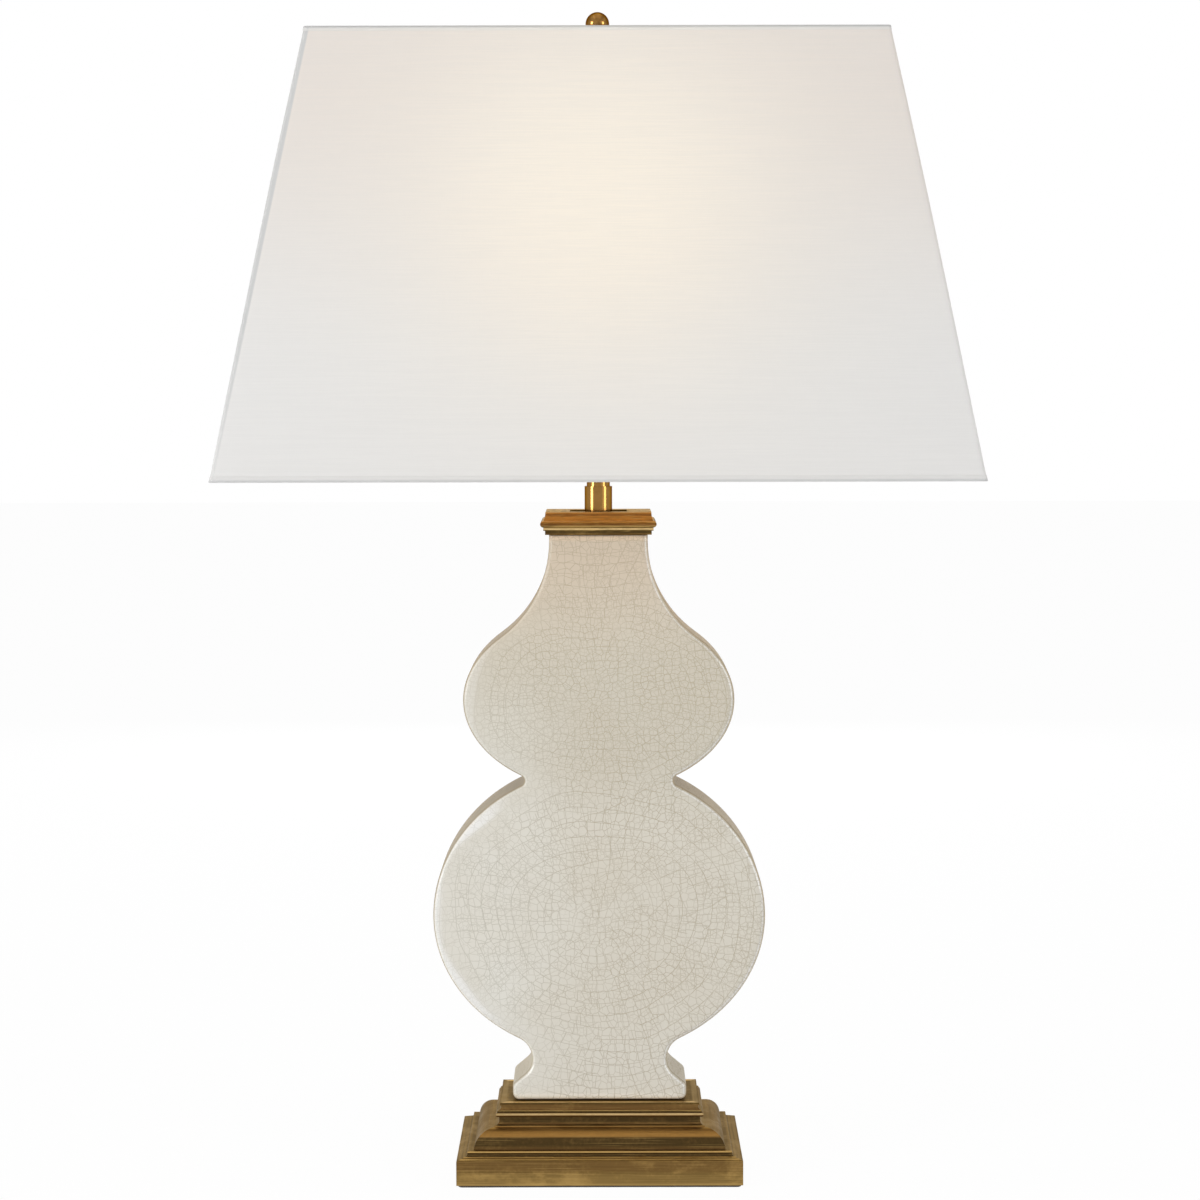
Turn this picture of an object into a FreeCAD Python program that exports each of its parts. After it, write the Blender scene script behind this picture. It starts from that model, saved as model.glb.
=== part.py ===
"""Table lamp with a flat double-gourd body of crackle-glazed ceramic.

The gourd stands on a moulded brass base and carries a moulded brass cap, a
neck tube, a screw-shell socket, a detachable harp and a rectangular linen
shade with a ball finial. One threaded pipe runs up the middle and clamps the
stack together, from the nut under the base weight to the socket cap.

Millimetres. +Z is up, the front faces -Y, and the origin is the centre of the
underside. Every height is stacked from the one below it, so a changed size
moves whatever stands on it.
"""
import FreeCAD, Part
import math
import os

Vector = FreeCAD.Vector

# Fits between pieces
pipe_clearance = 0.25
drop_in_clearance = 0.15
turning_clearance = 0.05
sliding_clearance = 0.1
swivel_play = 0.1
end_gap = 0.4

# Felt, bottom plate and base weight
felt_thickness = 1.5
felt_setback = 1.2
bottom_plate_thickness = 2.0
weight_thickness = 12.5
nut_pocket_depth = 8.0
nut_pocket_radius = 13.0
cord_channel_width = 11.0
cord_channel_height = 9.6

# Brass plinth, the lowest tier of the base
base_width = 195.5
base_depth = 129.0
plinth_wall = 3.0
plinth_flange = 14.0
plinth_flange_thickness = 2.5
plinth_edge_round = 0.6

# Brass moulding on the plinth: sloped ledge, cove, bead, then a quarter round
ledge_setback = 0.6
ledge_width = 5.0
ledge_rise = 1.6
cove_radius = 1.6
bead_radius = 0.85
bead_shelf = 3.5
quarter_round_radius = 13.5
quarter_round_sink = 0.9
moulding_wall = 2.5
moulding_lip = 5.0

# Brass top tier: cove, bead, small quarter round, hollow and top band
tier_setback = 25.3
tier_foot = 0.6
tier_cove_radius = 3.2
tier_riser = 2.6
tier_bead_radius = 1.6
tier_groove = 0.8
tier_round_radius = 1.4
tier_hollow_height = 2.9
tier_hollow_depth = 1.3
tier_hollow_bow = 0.4
tier_band_height = 1.9
tier_band_step = 0.6
tier_wall = 2.5
tier_plate = 3.0

# Cord bushing in the back of the plinth
bushing_bore = 6.4
bushing_wall = 1.3
bushing_flange = 2.0
bushing_flange_thickness = 1.6
bushing_inner_length = 2.0

# Gaskets under and over the gourd
gasket_thickness = 0.5
gasket_setback = 4.0

# Gourd outline, seen from the front, and its flat depth
gourd_depth = 58.0
gourd_wall = 7.0
gourd_edge_round = 3.0
foot_half_width = 60.0
foot_corner_round = 4.5
foot_edge_height = 4.4
foot_shoulder_round = 4.0
foot_flare_angle = 40.0
foot_neck_half_width = 46.5
foot_neck_lower_radius = 13.5
foot_neck_upper_radius = 16.0
lower_bulge_half_width = 114.4
lower_bulge_rise = 102.3
lower_bulge_drop = 97.9
waist_fillet = 3.8
bulge_overlap = 16.6
upper_bulge_half_width = 93.1
upper_bulge_rise = 62.8
upper_bulge_drop = 63.7
neck_half_width = 33.7
neck_curve_radius = 82.0
neck_straight = 3.5
gourd_floor_hole = 8.0
gourd_top_hole = 13.0

# Brass cap on the gourd: band, cove, half round and hollow
cap_side_overhang = 2.7
cap_front_overhang = 1.2
cap_bead_reach = 3.3
cap_band_height = 2.8
cap_cove_height = 2.2
cap_cove_reach = 1.2
cap_bead_radius = 2.3
cap_hollow_height = 5.7
cap_hollow_setback = 1.2
cap_hollow_bow = 0.3
cap_wall = 3.0
cap_pocket_width = 39.3
cap_pocket_depth = 27.0
cap_pocket_sink = 4.0

# Threaded pipe and the nut that pulls the stack together
pipe_radius = 5.1
pipe_bore = 3.6
pipe_tail = 1.2
nut_across_flats = 16.0
nut_thickness = 3.5
washer_radius = 11.0
washer_thickness = 1.2

# Neck tube and collar
neck_tube_diameter = 19.05
neck_tube_wall = 1.4
neck_tube_show = 17.0
neck_tube_top = 2.0
collar_diameter = 16.0
collar_height = 5.0

# Harp saddle
saddle_thickness = 1.6
saddle_hub_radius = 11.5
saddle_arm_width = 8.0
saddle_arm_height = 8.4
saddle_bend_radius = 2.5
saddle_peg_radius = 1.6
saddle_peg_height = 9.5
leg_socket_gap = 14.2

# Socket
socket_radius = 16.9
socket_wall = 0.7
socket_hub_radius = 7.6
socket_hub_height = 6.0
socket_dome_height = 11.0
socket_skirt_height = 5.0
socket_shell_height = 46.0
socket_lip_radius = 14.6
sleeve_paper_wall = 0.6
core_height = 20.0
core_lift = 2.5
screw_shell_radius = 13.4
screw_shell_wall = 0.4
screw_shell_height = 23.0
contact_radius = 4.5
contact_thickness = 1.6
contact_gap = 1.5
terminal_screw_radius = 2.4
terminal_screw_reach = 1.6

# Turn switch
switch_lift = 9.0
switch_stem_radius = 2.0
switch_boss_radius = 3.6
switch_boss_reach = 2.4
switch_hole_gap = 0.15
knob_gap = 1.0
knob_radius = 6.0
knob_length = 12.0
knob_waist = 1.2
knob_flutes = 8
knob_flute_radius = 1.1

# Bulb
bulb_cap_height = 24.0
bulb_cap_taper = 4.0
bulb_insulator_width = 1.0
bulb_contact_height = 2.2
bulb_contact_radius = 4.8
bulb_radius = 30.0
bulb_glass_length = 83.0
bulb_glass_wall = 1.0
bulb_neck_rise = 9.0
bulb_neck_radius = 13.6

# Harp
harp_rise = 286.0
harp_wire_radius = 1.9
harp_bulb_gap = 24.0
harp_top_half_width = 22.0
harp_taper_drop = 135.0
harp_bow_rise = 46.0
harp_leg_straight = 34.5
harp_leg_bend = 25.0
harp_bow_bend = 40.0
harp_taper_bend = 90.0
harp_top_bend = 14.0
harp_pad_radius = 6.5
ferrule_wall = 0.6
ferrule_length = 13.0
ferrule_bore_depth = 10.5

# Harp sleeves, which slide down over the two joints of the harp
harp_sleeve_length = 14.0
harp_sleeve_wall = 0.9
harp_sleeve_roll = 0.5

# Swivel stud on top of the harp
stud_neck_radius = 2.5
stud_rivet_radius = 4.2
stud_rivet_thickness = 1.5
stud_seat_radius = 8.5
stud_seat_thickness = 2.0
stud_thread_radius = 3.1
stud_thread_length = 17.5

# Shade
shade_bottom_width = 491.2
shade_bottom_depth = 356.0
shade_side_taper = 56.6
shade_front_taper = 63.5
shade_height = 292.0
shade_corner_radius = 6.0
linen_thickness = 0.8
liner_thickness = 0.6
shade_wire_radius = 1.3
trim_thickness = 0.4
top_trim_height = 3.0
bottom_trim_height = 3.8
trim_turn_in = 3.4
shade_recess = 6.6

# Spider that hangs the shade on the stud
spider_washer_radius = 15.0
spider_washer_thickness = 1.6
spider_arm_radius = 1.5
spider_arm_lap = 2.0

# Finial
finial_flange_radius = 7.0
finial_flange_thickness = 2.2
finial_stem_radius = 4.6
finial_waist_radius = 4.0
finial_stem_length = 15.2
finial_ball_radius = 8.1
finial_ball_sink = 1.6


# Drawing helpers

class Outline:
    """A closed outline in the XZ plane, drawn edge by edge as with a pen."""

    def __init__(self, x, z):
        self.start = Vector(x, 0, z)
        self.at = self.start
        self.edges = []

    def line(self, x, z):
        end = Vector(x, 0, z)
        if (end - self.at).Length > 1e-6:
            self.edges.append(Part.LineSegment(self.at, end).toShape())
            self.at = end
        return self

    def arc(self, centre_x, centre_z, x, z):
        """Turn about a centre to a point less than half a circle away."""
        centre = Vector(centre_x, 0, centre_z)
        end = Vector(x, 0, z)
        middle = (self.at - centre) + (end - centre)
        middle.normalize()
        via = centre + middle * (self.at - centre).Length
        self.edges.append(Part.Arc(self.at, via, end).toShape())
        self.at = end
        return self

    def curve(self, edge, x, z):
        """Add a ready edge that starts here and ends at the given point."""
        self.edges.append(edge)
        self.at = Vector(x, 0, z)
        return self

    def wire(self):
        self.line(self.start.x, self.start.z)
        return Part.Wire(self.edges)

    def face(self):
        return Part.Face(self.wire())


def revolved(outline):
    """Turn an outline of radius and height once round the Z axis."""
    return outline.face().revolve(Vector(0, 0, 0), Vector(0, 0, 1), 360)


def block(width, depth, low, high, x=0.0, y=0.0):
    corner = Vector(x - width / 2, y - depth / 2, low)
    return Part.makeBox(width, depth, high - low, corner)


def post(radius, low, high, x=0.0, y=0.0):
    return Part.makeCylinder(radius, high - low, Vector(x, y, low))


def ring(outer, inner, low, high, x=0.0, y=0.0):
    return post(outer, low, high, x, y).cut(post(inner, low, high, x, y))


def rounded_rectangle(width, depth, radius, z):
    """A level wire with rounded corners."""
    hx, hy = width / 2, depth / 2
    ix, iy = hx - radius, hy - radius
    slant = radius * (1 - math.sqrt(0.5))
    edges = []
    for start, end in (((-ix, -hy), (ix, -hy)), ((hx, -iy), (hx, iy)),
                       ((ix, hy), (-ix, hy)), ((-hx, iy), (-hx, -iy))):
        edges.append(Part.LineSegment(Vector(*start, z), Vector(*end, z)).toShape())
    for sx, sy in ((1, -1), (1, 1), (-1, 1), (-1, -1)):
        along = Vector(sx * ix, sy * hy, z)
        across = Vector(sx * hx, sy * iy, z)
        via = Vector(sx * (hx - slant), sy * (hy - slant), z)
        edges.append(Part.Arc(along, via, across).toShape())
    return Part.Wire(Part.__sortEdges__(edges))


def bent_path(points, bends):
    """A path in the XZ plane of straight runs joined by tangent arcs.

    points are (x, z) pairs; bends gives the radius at each inner point.
    """
    spots = [Vector(x, 0, z) for x, z in points]
    edges = []
    here = spots[0]
    for before, corner, after, radius in zip(spots, spots[1:], spots[2:], bends):
        arriving = (corner - before).normalize()
        leaving = (after - corner).normalize()
        half_turn = arriving.getAngle(leaving) / 2
        reach = radius * math.tan(half_turn)
        first = corner - arriving * reach
        last = corner + leaving * reach
        inward = (leaving - arriving).normalize()
        via = corner + inward * (radius / math.cos(half_turn) - radius)
        edges.append(Part.LineSegment(here, first).toShape())
        edges.append(Part.Arc(first, via, last).toShape())
        here = last
    edges.append(Part.LineSegment(here, spots[-1]).toShape())
    return Part.Wire(edges)


def moulding_section(half_width, bottom, profile):
    """Face of a moulding from its left to its right edge.

    profile lists (setback, height, arc centre) from the bottom up, where the
    centre is None for a straight edge and (setback, height) for an arc.
    """
    first_setback, first_height, _ = profile[0]
    pen = Outline(half_width - first_setback, bottom + first_height)
    for setback, height, centre in profile[1:]:
        draw_step(pen, half_width, bottom, setback, height, centre, 1)
    last_setback, last_height, _ = profile[-1]
    pen.line(last_setback - half_width, bottom + last_height)
    for upper, lower in zip(profile[:0:-1], profile[-2::-1]):
        draw_step(pen, half_width, bottom, lower[0], lower[1], upper[2], -1)
    return pen.face()


def draw_step(pen, half_width, bottom, setback, height, centre, side):
    x = side * (half_width - setback)
    if centre is None:
        pen.line(x, bottom + height)
    else:
        pen.arc(side * (half_width - centre[0]), bottom + centre[1], x, bottom + height)


def moulded(width, depth, bottom, profile):
    """A block whose four sides carry one profile and meet in mitres."""
    along = moulding_section(width / 2, bottom, profile)
    along.translate(Vector(0, -depth / 2, 0))
    across = moulding_section(depth / 2, bottom, profile)
    across.rotate(Vector(0, 0, 0), Vector(0, 0, 1), 90)
    across.translate(Vector(-width / 2, 0, 0))
    run = along.extrude(Vector(0, depth, 0))
    return run.common(across.extrude(Vector(width, 0, 0)))


def hollow_centre(start, end, bow):
    """Centre of the arc that hollows a face between two points of a profile."""
    ds, dz = end[0] - start[0], end[1] - start[1]
    chord = math.hypot(ds, dz)
    radius = (chord ** 2 / 4 + bow ** 2) / (2 * bow)
    reach = (radius - bow) / chord
    return ((start[0] + end[0]) / 2 - reach * dz, (start[1] + end[1]) / 2 + reach * ds)


def solve(function, low, high):
    """Root of a function that changes sign once between low and high."""
    sign_low = function(low) > 0
    for _ in range(60):
        middle = (low + high) / 2
        if (function(middle) > 0) == sign_low:
            low = middle
        else:
            high = middle
    return (low + high) / 2


class Oval:
    """Half of a bulge: an upright oval with its own rise and drop."""

    def __init__(self, half_width, centre, rise, drop):
        self.half_width = half_width
        self.centre = centre
        self.rise = rise
        self.drop = drop

    def height(self, angle):
        return self.rise if angle > 0 else self.drop

    def spot(self, angle):
        return (self.half_width * math.cos(angle),
                self.centre + self.height(angle) * math.sin(angle))

    def outside(self, angle, radius):
        """Centre of a circle that touches the oval at this angle from outside."""
        x, z = self.spot(angle)
        nx = math.cos(angle) / self.half_width
        nz = math.sin(angle) / self.height(angle)
        size = math.hypot(nx, nz)
        return x + radius * nx / size, z + radius * nz / size

    def touch(self, centre_x, radius, upper):
        """Angle where a circle centred at centre_x touches the oval."""
        end = math.pi / 2 if upper else -math.pi / 2
        return solve(lambda angle: self.outside(angle, radius)[0] - centre_x, 0, end)

    def edge(self, start, end, side):
        """The part of the oval from one angle to the other, on one side."""
        height = self.height((start + end) / 2)
        centre = Vector(0, 0, self.centre)
        across = Vector(side * self.half_width, 0, self.centre)
        above = Vector(0, 0, self.centre + height)
        if self.half_width >= height:
            ellipse = Part.Ellipse(across, above, centre)
        else:
            ellipse = Part.Ellipse(above, across, centre)
        first = Vector(side * self.spot(start)[0], 0, self.spot(start)[1])
        last = Vector(side * self.spot(end)[0], 0, self.spot(end)[1])
        low, high = ellipse.parameter(first), ellipse.parameter(last)
        if abs(high - low) > math.pi:
            low, high = (low + 2 * math.pi, high) if low < high else (low, high + 2 * math.pi)
        arc = Part.ArcOfEllipse(ellipse, min(low, high), max(low, high))
        return arc.toShape()


# Heights of the stack, from the felt up

plate_bottom = felt_thickness
weight_bottom = plate_bottom + bottom_plate_thickness
weight_top = weight_bottom + weight_thickness
plinth_top = weight_top + plinth_flange_thickness
quarter_round_foot = ledge_rise + cove_radius + 2 * bead_radius
moulding_height = quarter_round_foot - quarter_round_sink + quarter_round_radius
moulding_top = plinth_top + moulding_height
tier_bead_bottom = tier_foot + tier_cove_radius + tier_riser
tier_bead_top = tier_bead_bottom + 2 * tier_bead_radius
tier_round_top = tier_bead_top + tier_round_radius
tier_height = tier_round_top + tier_hollow_height + tier_band_height
tier_top = moulding_top + tier_height
gourd_bottom = tier_top + gasket_thickness


def foot_height():
    """Height of the foot, from its underside to where it is narrowest."""
    flare = math.radians(foot_flare_angle)
    run = foot_half_width - foot_neck_half_width - foot_neck_lower_radius * (1 - math.sin(flare))
    shoulder = foot_shoulder_round * math.tan((math.pi / 2 - flare) / 2)
    edge = foot_corner_round + foot_edge_height + shoulder
    return edge + run * math.tan(flare) + foot_neck_lower_radius * math.cos(flare)


def lower_bulge_lift():
    """Height of the lower bulge's centre over the foot's neck."""
    oval = Oval(lower_bulge_half_width, 0, lower_bulge_rise, lower_bulge_drop)
    centre_x = foot_neck_half_width + foot_neck_upper_radius
    touch = oval.touch(centre_x, foot_neck_upper_radius, False)
    return -oval.outside(touch, foot_neck_upper_radius)[1]


lower_bulge_centre = gourd_bottom + foot_height() + lower_bulge_lift()
upper_bulge_centre = lower_bulge_centre + lower_bulge_rise + upper_bulge_drop - bulge_overlap


def bulges(wall):
    """The two ovals of the outline, or of the cavity a wall inside it."""
    lower = Oval(lower_bulge_half_width - wall, lower_bulge_centre,
                 lower_bulge_rise - wall, lower_bulge_drop - wall)
    upper = Oval(upper_bulge_half_width - wall, upper_bulge_centre,
                 upper_bulge_rise - wall, upper_bulge_drop - wall)
    return lower, upper


def neck_curve(wall):
    """Angle where the neck's curve leaves the upper bulge, and its centre."""
    _, upper = bulges(wall)
    radius = neck_curve_radius + wall
    centre_x = neck_half_width - wall + radius
    touch = upper.touch(centre_x, radius, True)
    return touch, (centre_x, upper.outside(touch, radius)[1])


gourd_top = neck_curve(0)[1][1] + neck_straight
cap_bottom = gourd_top + gasket_thickness
cap_bead_bottom = cap_band_height + cap_cove_height
cap_bead_top = cap_bead_bottom + 2 * cap_bead_radius
cap_height = cap_bead_top + cap_hollow_height
cap_top = cap_bottom + cap_height
neck_bottom = cap_top - cap_pocket_sink
neck_top = cap_top + neck_tube_show
collar_top = neck_top + collar_height
saddle_top = collar_top + saddle_thickness
shoulder = saddle_top + saddle_arm_height
dome_bottom = saddle_top + socket_hub_height
dome_top = dome_bottom + socket_dome_height
skirt_top = dome_top + socket_skirt_height
shell_top = dome_top + socket_shell_height
core_bottom = dome_top + core_lift
core_top = core_bottom + core_height
screw_shell_bottom = core_top
screw_shell_top = screw_shell_bottom + screw_shell_height
bulb_tip = core_top + contact_thickness
bulb_cap_bottom = bulb_tip + bulb_contact_height
bulb_cap_top = bulb_cap_bottom + bulb_cap_height
seat_top = saddle_top + harp_rise
seat_bottom = seat_top - stud_seat_thickness
harp_top = seat_bottom - swivel_play - harp_wire_radius
washer_top = seat_top + spider_washer_thickness
shade_top = washer_top + shade_recess
shade_bottom = shade_top - shade_height
stem_top = washer_top + finial_stem_length
ball_centre = stem_top + finial_ball_radius - finial_ball_sink
total_height = ball_centre + finial_ball_radius

leg_x = socket_radius + leg_socket_gap
pipe_hole = pipe_radius + pipe_clearance
tier_inset = tier_setback + tier_cove_radius
tier_top_inset = tier_inset + tier_band_step


# Base

def felt_pad():
    inset = 2 * felt_setback
    return block(base_width - inset, base_depth - inset, 0, felt_thickness)


def inside_plinth(low, high):
    inset = 2 * (plinth_wall + drop_in_clearance)
    return block(base_width - inset, base_depth - inset, low, high)


def bottom_plate():
    return inside_plinth(plate_bottom, weight_bottom)


def base_weight():
    """Iron plate with a pocket for the pipe's nut and a channel for the cord."""
    weight = inside_plinth(weight_bottom, weight_top)
    pocket = post(nut_pocket_radius, weight_bottom, weight_bottom + nut_pocket_depth)
    channel = block(cord_channel_width, base_depth / 2, weight_bottom,
                    weight_bottom + cord_channel_height, 0, base_depth / 4)
    hole = post(pipe_hole, weight_bottom, weight_top)
    return weight.cut(Part.makeCompound([pocket, channel, hole]))


def bushing_place():
    return Vector(0, base_depth / 2, weight_bottom + cord_channel_height / 2)


def bushing_hole_radius():
    return bushing_bore / 2 + bushing_wall + drop_in_clearance


def base_plinth():
    """Square-edged brass tray, open below, with a flange round its top."""
    profile = [(0, 0, None), (0, plinth_top - plate_bottom - plinth_edge_round, None),
               (plinth_edge_round, plinth_top - plate_bottom,
                (plinth_edge_round, plinth_top - plate_bottom - plinth_edge_round))]
    tray = moulded(base_width, base_depth, plate_bottom, profile)
    inset = 2 * plinth_wall
    room = block(base_width - inset, base_depth - inset, plate_bottom, weight_top)
    flange = 2 * (plinth_wall + plinth_flange)
    mouth = block(base_width - flange, base_depth - flange, weight_top, plinth_top)
    inlet = Part.makeCylinder(bushing_hole_radius(), 2 * plinth_wall,
                              bushing_place() - Vector(0, 1.5 * plinth_wall, 0),
                              Vector(0, 1, 0))
    return tray.cut(Part.makeCompound([room, mouth, inlet]))


def base_moulding():
    """Mitred ledge, cove, bead and quarter round, hollow underneath."""
    ledge_end = ledge_setback + ledge_width
    cove_end = ledge_end + cove_radius
    cove_top = ledge_rise + cove_radius
    bead_back = cove_end + bead_radius
    rounding = bead_back + bead_shelf
    run = math.sqrt(quarter_round_radius ** 2 - quarter_round_sink ** 2)
    centre = (rounding + run, quarter_round_foot - quarter_round_sink)
    profile = [
        (ledge_setback, 0, None),
        (ledge_end, ledge_rise, None),
        (cove_end, cove_top, (ledge_end, cove_top)),
        (bead_back, cove_top, None),
        (bead_back - bead_radius, cove_top + bead_radius,
         (bead_back, cove_top + bead_radius)),
        (bead_back, quarter_round_foot, (bead_back, cove_top + bead_radius)),
        (rounding, quarter_round_foot, None),
        (centre[0], moulding_height, centre),
    ]
    outer = moulded(base_width, base_depth, plinth_top, profile)
    inner_radius = quarter_round_radius - moulding_wall
    hollow = [
        (centre[0] - inner_radius, 0, None),
        (centre[0] - inner_radius, centre[1], None),
        (centre[0], centre[1] + inner_radius, centre),
    ]
    room = moulded(base_width, base_depth, plinth_top, hollow)
    opening = 2 * (centre[0] + moulding_lip)
    mouth = block(base_width - opening, base_depth - opening, plinth_top, moulding_top)
    return outer.cut(Part.makeCompound([room, mouth]))


def base_top_tier():
    """Mitred top tier with the plate that the gourd stands on."""
    bead_centre = (tier_inset - tier_groove, tier_bead_bottom + tier_bead_radius)
    round_centre = (tier_inset, tier_bead_top)
    hollow_foot = (tier_inset, tier_round_top)
    hollow_end = (tier_inset + tier_hollow_depth, tier_round_top + tier_hollow_height)
    profile = [
        (tier_setback, 0, None),
        (tier_setback, tier_foot, None),
        (tier_inset, tier_foot + tier_cove_radius, (tier_setback, tier_foot + tier_cove_radius)),
        (tier_inset, tier_bead_bottom, None),
        (bead_centre[0], tier_bead_bottom, None),
        (bead_centre[0] - tier_bead_radius, bead_centre[1], bead_centre),
        (bead_centre[0], tier_bead_top, bead_centre),
        (tier_inset - tier_round_radius, tier_bead_top, None),
        (*hollow_foot, round_centre),
        (*hollow_end, hollow_centre(hollow_foot, hollow_end, tier_hollow_bow)),
        (tier_top_inset, hollow_end[1], None),
        (tier_top_inset, tier_height, None),
    ]
    outer = moulded(base_width, base_depth, moulding_top, profile)
    inset = 2 * (hollow_end[0] + tier_wall)
    room = block(base_width - inset, base_depth - inset, moulding_top, tier_top - tier_plate)
    hole = post(pipe_hole, moulding_top, tier_top)
    return outer.cut(Part.makeCompound([room, hole]))


def cord_bushing():
    """Flanged bushing where the lead enters the back of the plinth."""
    outer = bushing_bore / 2 + bushing_wall
    back = bushing_place()
    barrel_length = plinth_wall + bushing_inner_length
    outward = Vector(0, 1, 0)
    start = back - outward * barrel_length
    barrel = Part.makeCylinder(outer, barrel_length, start, outward)
    flange = Part.makeCylinder(outer + bushing_flange, bushing_flange_thickness, back, outward)
    bore = Part.makeCylinder(bushing_bore / 2, barrel_length + bushing_flange_thickness,
                             start, outward)
    return barrel.fuse(flange).cut(bore).removeSplitter()


# Gourd

def foot_neck(wall):
    """Half-width and height where the foot is narrowest, and the angle above it."""
    lower, _ = bulges(wall)
    x = foot_neck_half_width - wall
    radius = foot_neck_upper_radius + wall
    touch = lower.touch(x + radius, radius, False)
    return x, lower.outside(touch, radius)[1], touch


def foot_steps():
    """Steps up the flared foot to its neck."""
    x, z, _ = foot_neck(0)
    flare = math.radians(foot_flare_angle)
    centre = (x + foot_neck_lower_radius, z)
    arc_end = (centre[0] - foot_neck_lower_radius * math.sin(flare),
               centre[1] - foot_neck_lower_radius * math.cos(flare))
    shoulder_z = arc_end[1] - (foot_half_width - arc_end[0]) * math.tan(flare)
    reach = foot_shoulder_round * math.tan((math.pi / 2 - flare) / 2)
    shoulder_centre = (foot_half_width - foot_shoulder_round, shoulder_z - reach)
    corner_centre = (foot_half_width - foot_corner_round, gourd_bottom + foot_corner_round)
    return [
        ("line", (corner_centre[0], gourd_bottom)),
        ("arc", corner_centre, (foot_half_width, corner_centre[1])),
        ("line", (foot_half_width, shoulder_centre[1])),
        ("arc", shoulder_centre, (foot_half_width - reach * math.cos(flare),
                                  shoulder_z + reach * math.sin(flare))),
        ("line", arc_end),
        ("arc", centre, (x, z)),
    ]


def body_steps(wall):
    """Steps from the neck of the foot over both bulges to the top."""
    lower, upper = bulges(wall)
    neck_x, neck_z, foot_touch = foot_neck(wall)
    over_centre = (neck_x + foot_neck_upper_radius + wall, neck_z)

    fillet = waist_fillet + wall

    def waist_gap(centre_x):
        above = upper.outside(upper.touch(centre_x, fillet, False), fillet)[1]
        below = lower.outside(lower.touch(centre_x, fillet, True), fillet)[1]
        return above - below

    waist_x = solve(waist_gap, fillet, upper.half_width + fillet)
    lower_waist = lower.touch(waist_x, fillet, True)
    upper_waist = upper.touch(waist_x, fillet, False)
    waist_centre = (waist_x, lower.outside(lower_waist, fillet)[1])

    top_x = neck_half_width - wall
    neck_touch, curve_centre = neck_curve(wall)
    return [
        ("arc", over_centre, lower.spot(foot_touch)),
        ("oval", lower, foot_touch, 0),
        ("oval", lower, 0, lower_waist),
        ("arc", waist_centre, upper.spot(upper_waist)),
        ("oval", upper, upper_waist, 0),
        ("oval", upper, 0, neck_touch),
        ("arc", curve_centre, (top_x, curve_centre[1])),
        ("line", (top_x, gourd_top - wall)),
    ]


def outline_steps():
    return foot_steps() + body_steps(0)


def cavity_steps():
    """The cavity goes straight down inside the flared foot."""
    x, z, _ = foot_neck(gourd_wall)
    return [("line", (x, gourd_bottom + gourd_wall)), ("line", (x, z))] + body_steps(gourd_wall)


def step_end(step):
    if step[0] == "oval":
        return step[1].spot(step[3])
    return step[-1]


def draw_side(pen, steps, side):
    """Draw the steps in order on the right side, and backwards on the left."""
    if side > 0:
        order = list(zip(steps, [step_end(step) for step in steps]))
    else:
        ends = [step_end(step) for step in steps]
        pen.line(-ends[-1][0], ends[-1][1])
        order = list(zip(steps[:0:-1], ends[-2::-1]))
    for step, (x, z) in order:
        if step[0] == "line":
            pen.line(side * x, z)
        elif step[0] == "arc":
            pen.arc(side * step[1][0], step[1][1], side * x, z)
        else:
            pen.curve(step[1].edge(step[2], step[3], side), side * x, z)


def slab(steps, bottom, depth):
    """A flat slab, alike on both sides of its middle."""
    pen = Outline(0, bottom)
    draw_side(pen, steps, 1)
    draw_side(pen, steps, -1)
    face = pen.face()
    face.translate(Vector(0, -depth / 2, 0))
    return face.extrude(Vector(0, depth, 0))


def rounded_rims(solid):
    """Round the front and back rims, all but the flat top edges."""
    rims = []
    for edge in solid.Edges:
        box = edge.BoundBox
        on_face = box.YLength < 1e-4 and abs(abs(box.Center.y) - gourd_depth / 2) < 1e-4
        flat_top = box.ZLength < 1e-4 and abs(box.ZMax - gourd_top) < 1e-4
        if on_face and not flat_top:
            rims.append(edge)
    return solid.makeFillet(gourd_edge_round, rims)


def gourd_body():
    """Hollow ceramic double gourd with a floor hole and a casting hole on top."""
    shell = rounded_rims(slab(outline_steps(), gourd_bottom, gourd_depth))
    room = slab(cavity_steps(), gourd_bottom + gourd_wall, gourd_depth - 2 * gourd_wall)
    floor_hole = post(gourd_floor_hole, gourd_bottom, gourd_bottom + 2 * gourd_wall)
    top_hole = post(gourd_top_hole, gourd_top - 2 * gourd_wall, gourd_top)
    return shell.cut(Part.makeCompound([room, floor_hole, top_hole]))


def gasket(half_width, bottom):
    width = 2 * (half_width - gasket_setback)
    depth = gourd_depth - 2 * gasket_setback
    sheet = block(width, depth, bottom, bottom + gasket_thickness)
    return sheet.cut(post(pipe_hole, bottom, bottom + gasket_thickness))


def foot_gasket():
    return gasket(foot_half_width, tier_top)


def cap_gasket():
    return gasket(neck_half_width, gourd_top)


# Cap and neck

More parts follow.
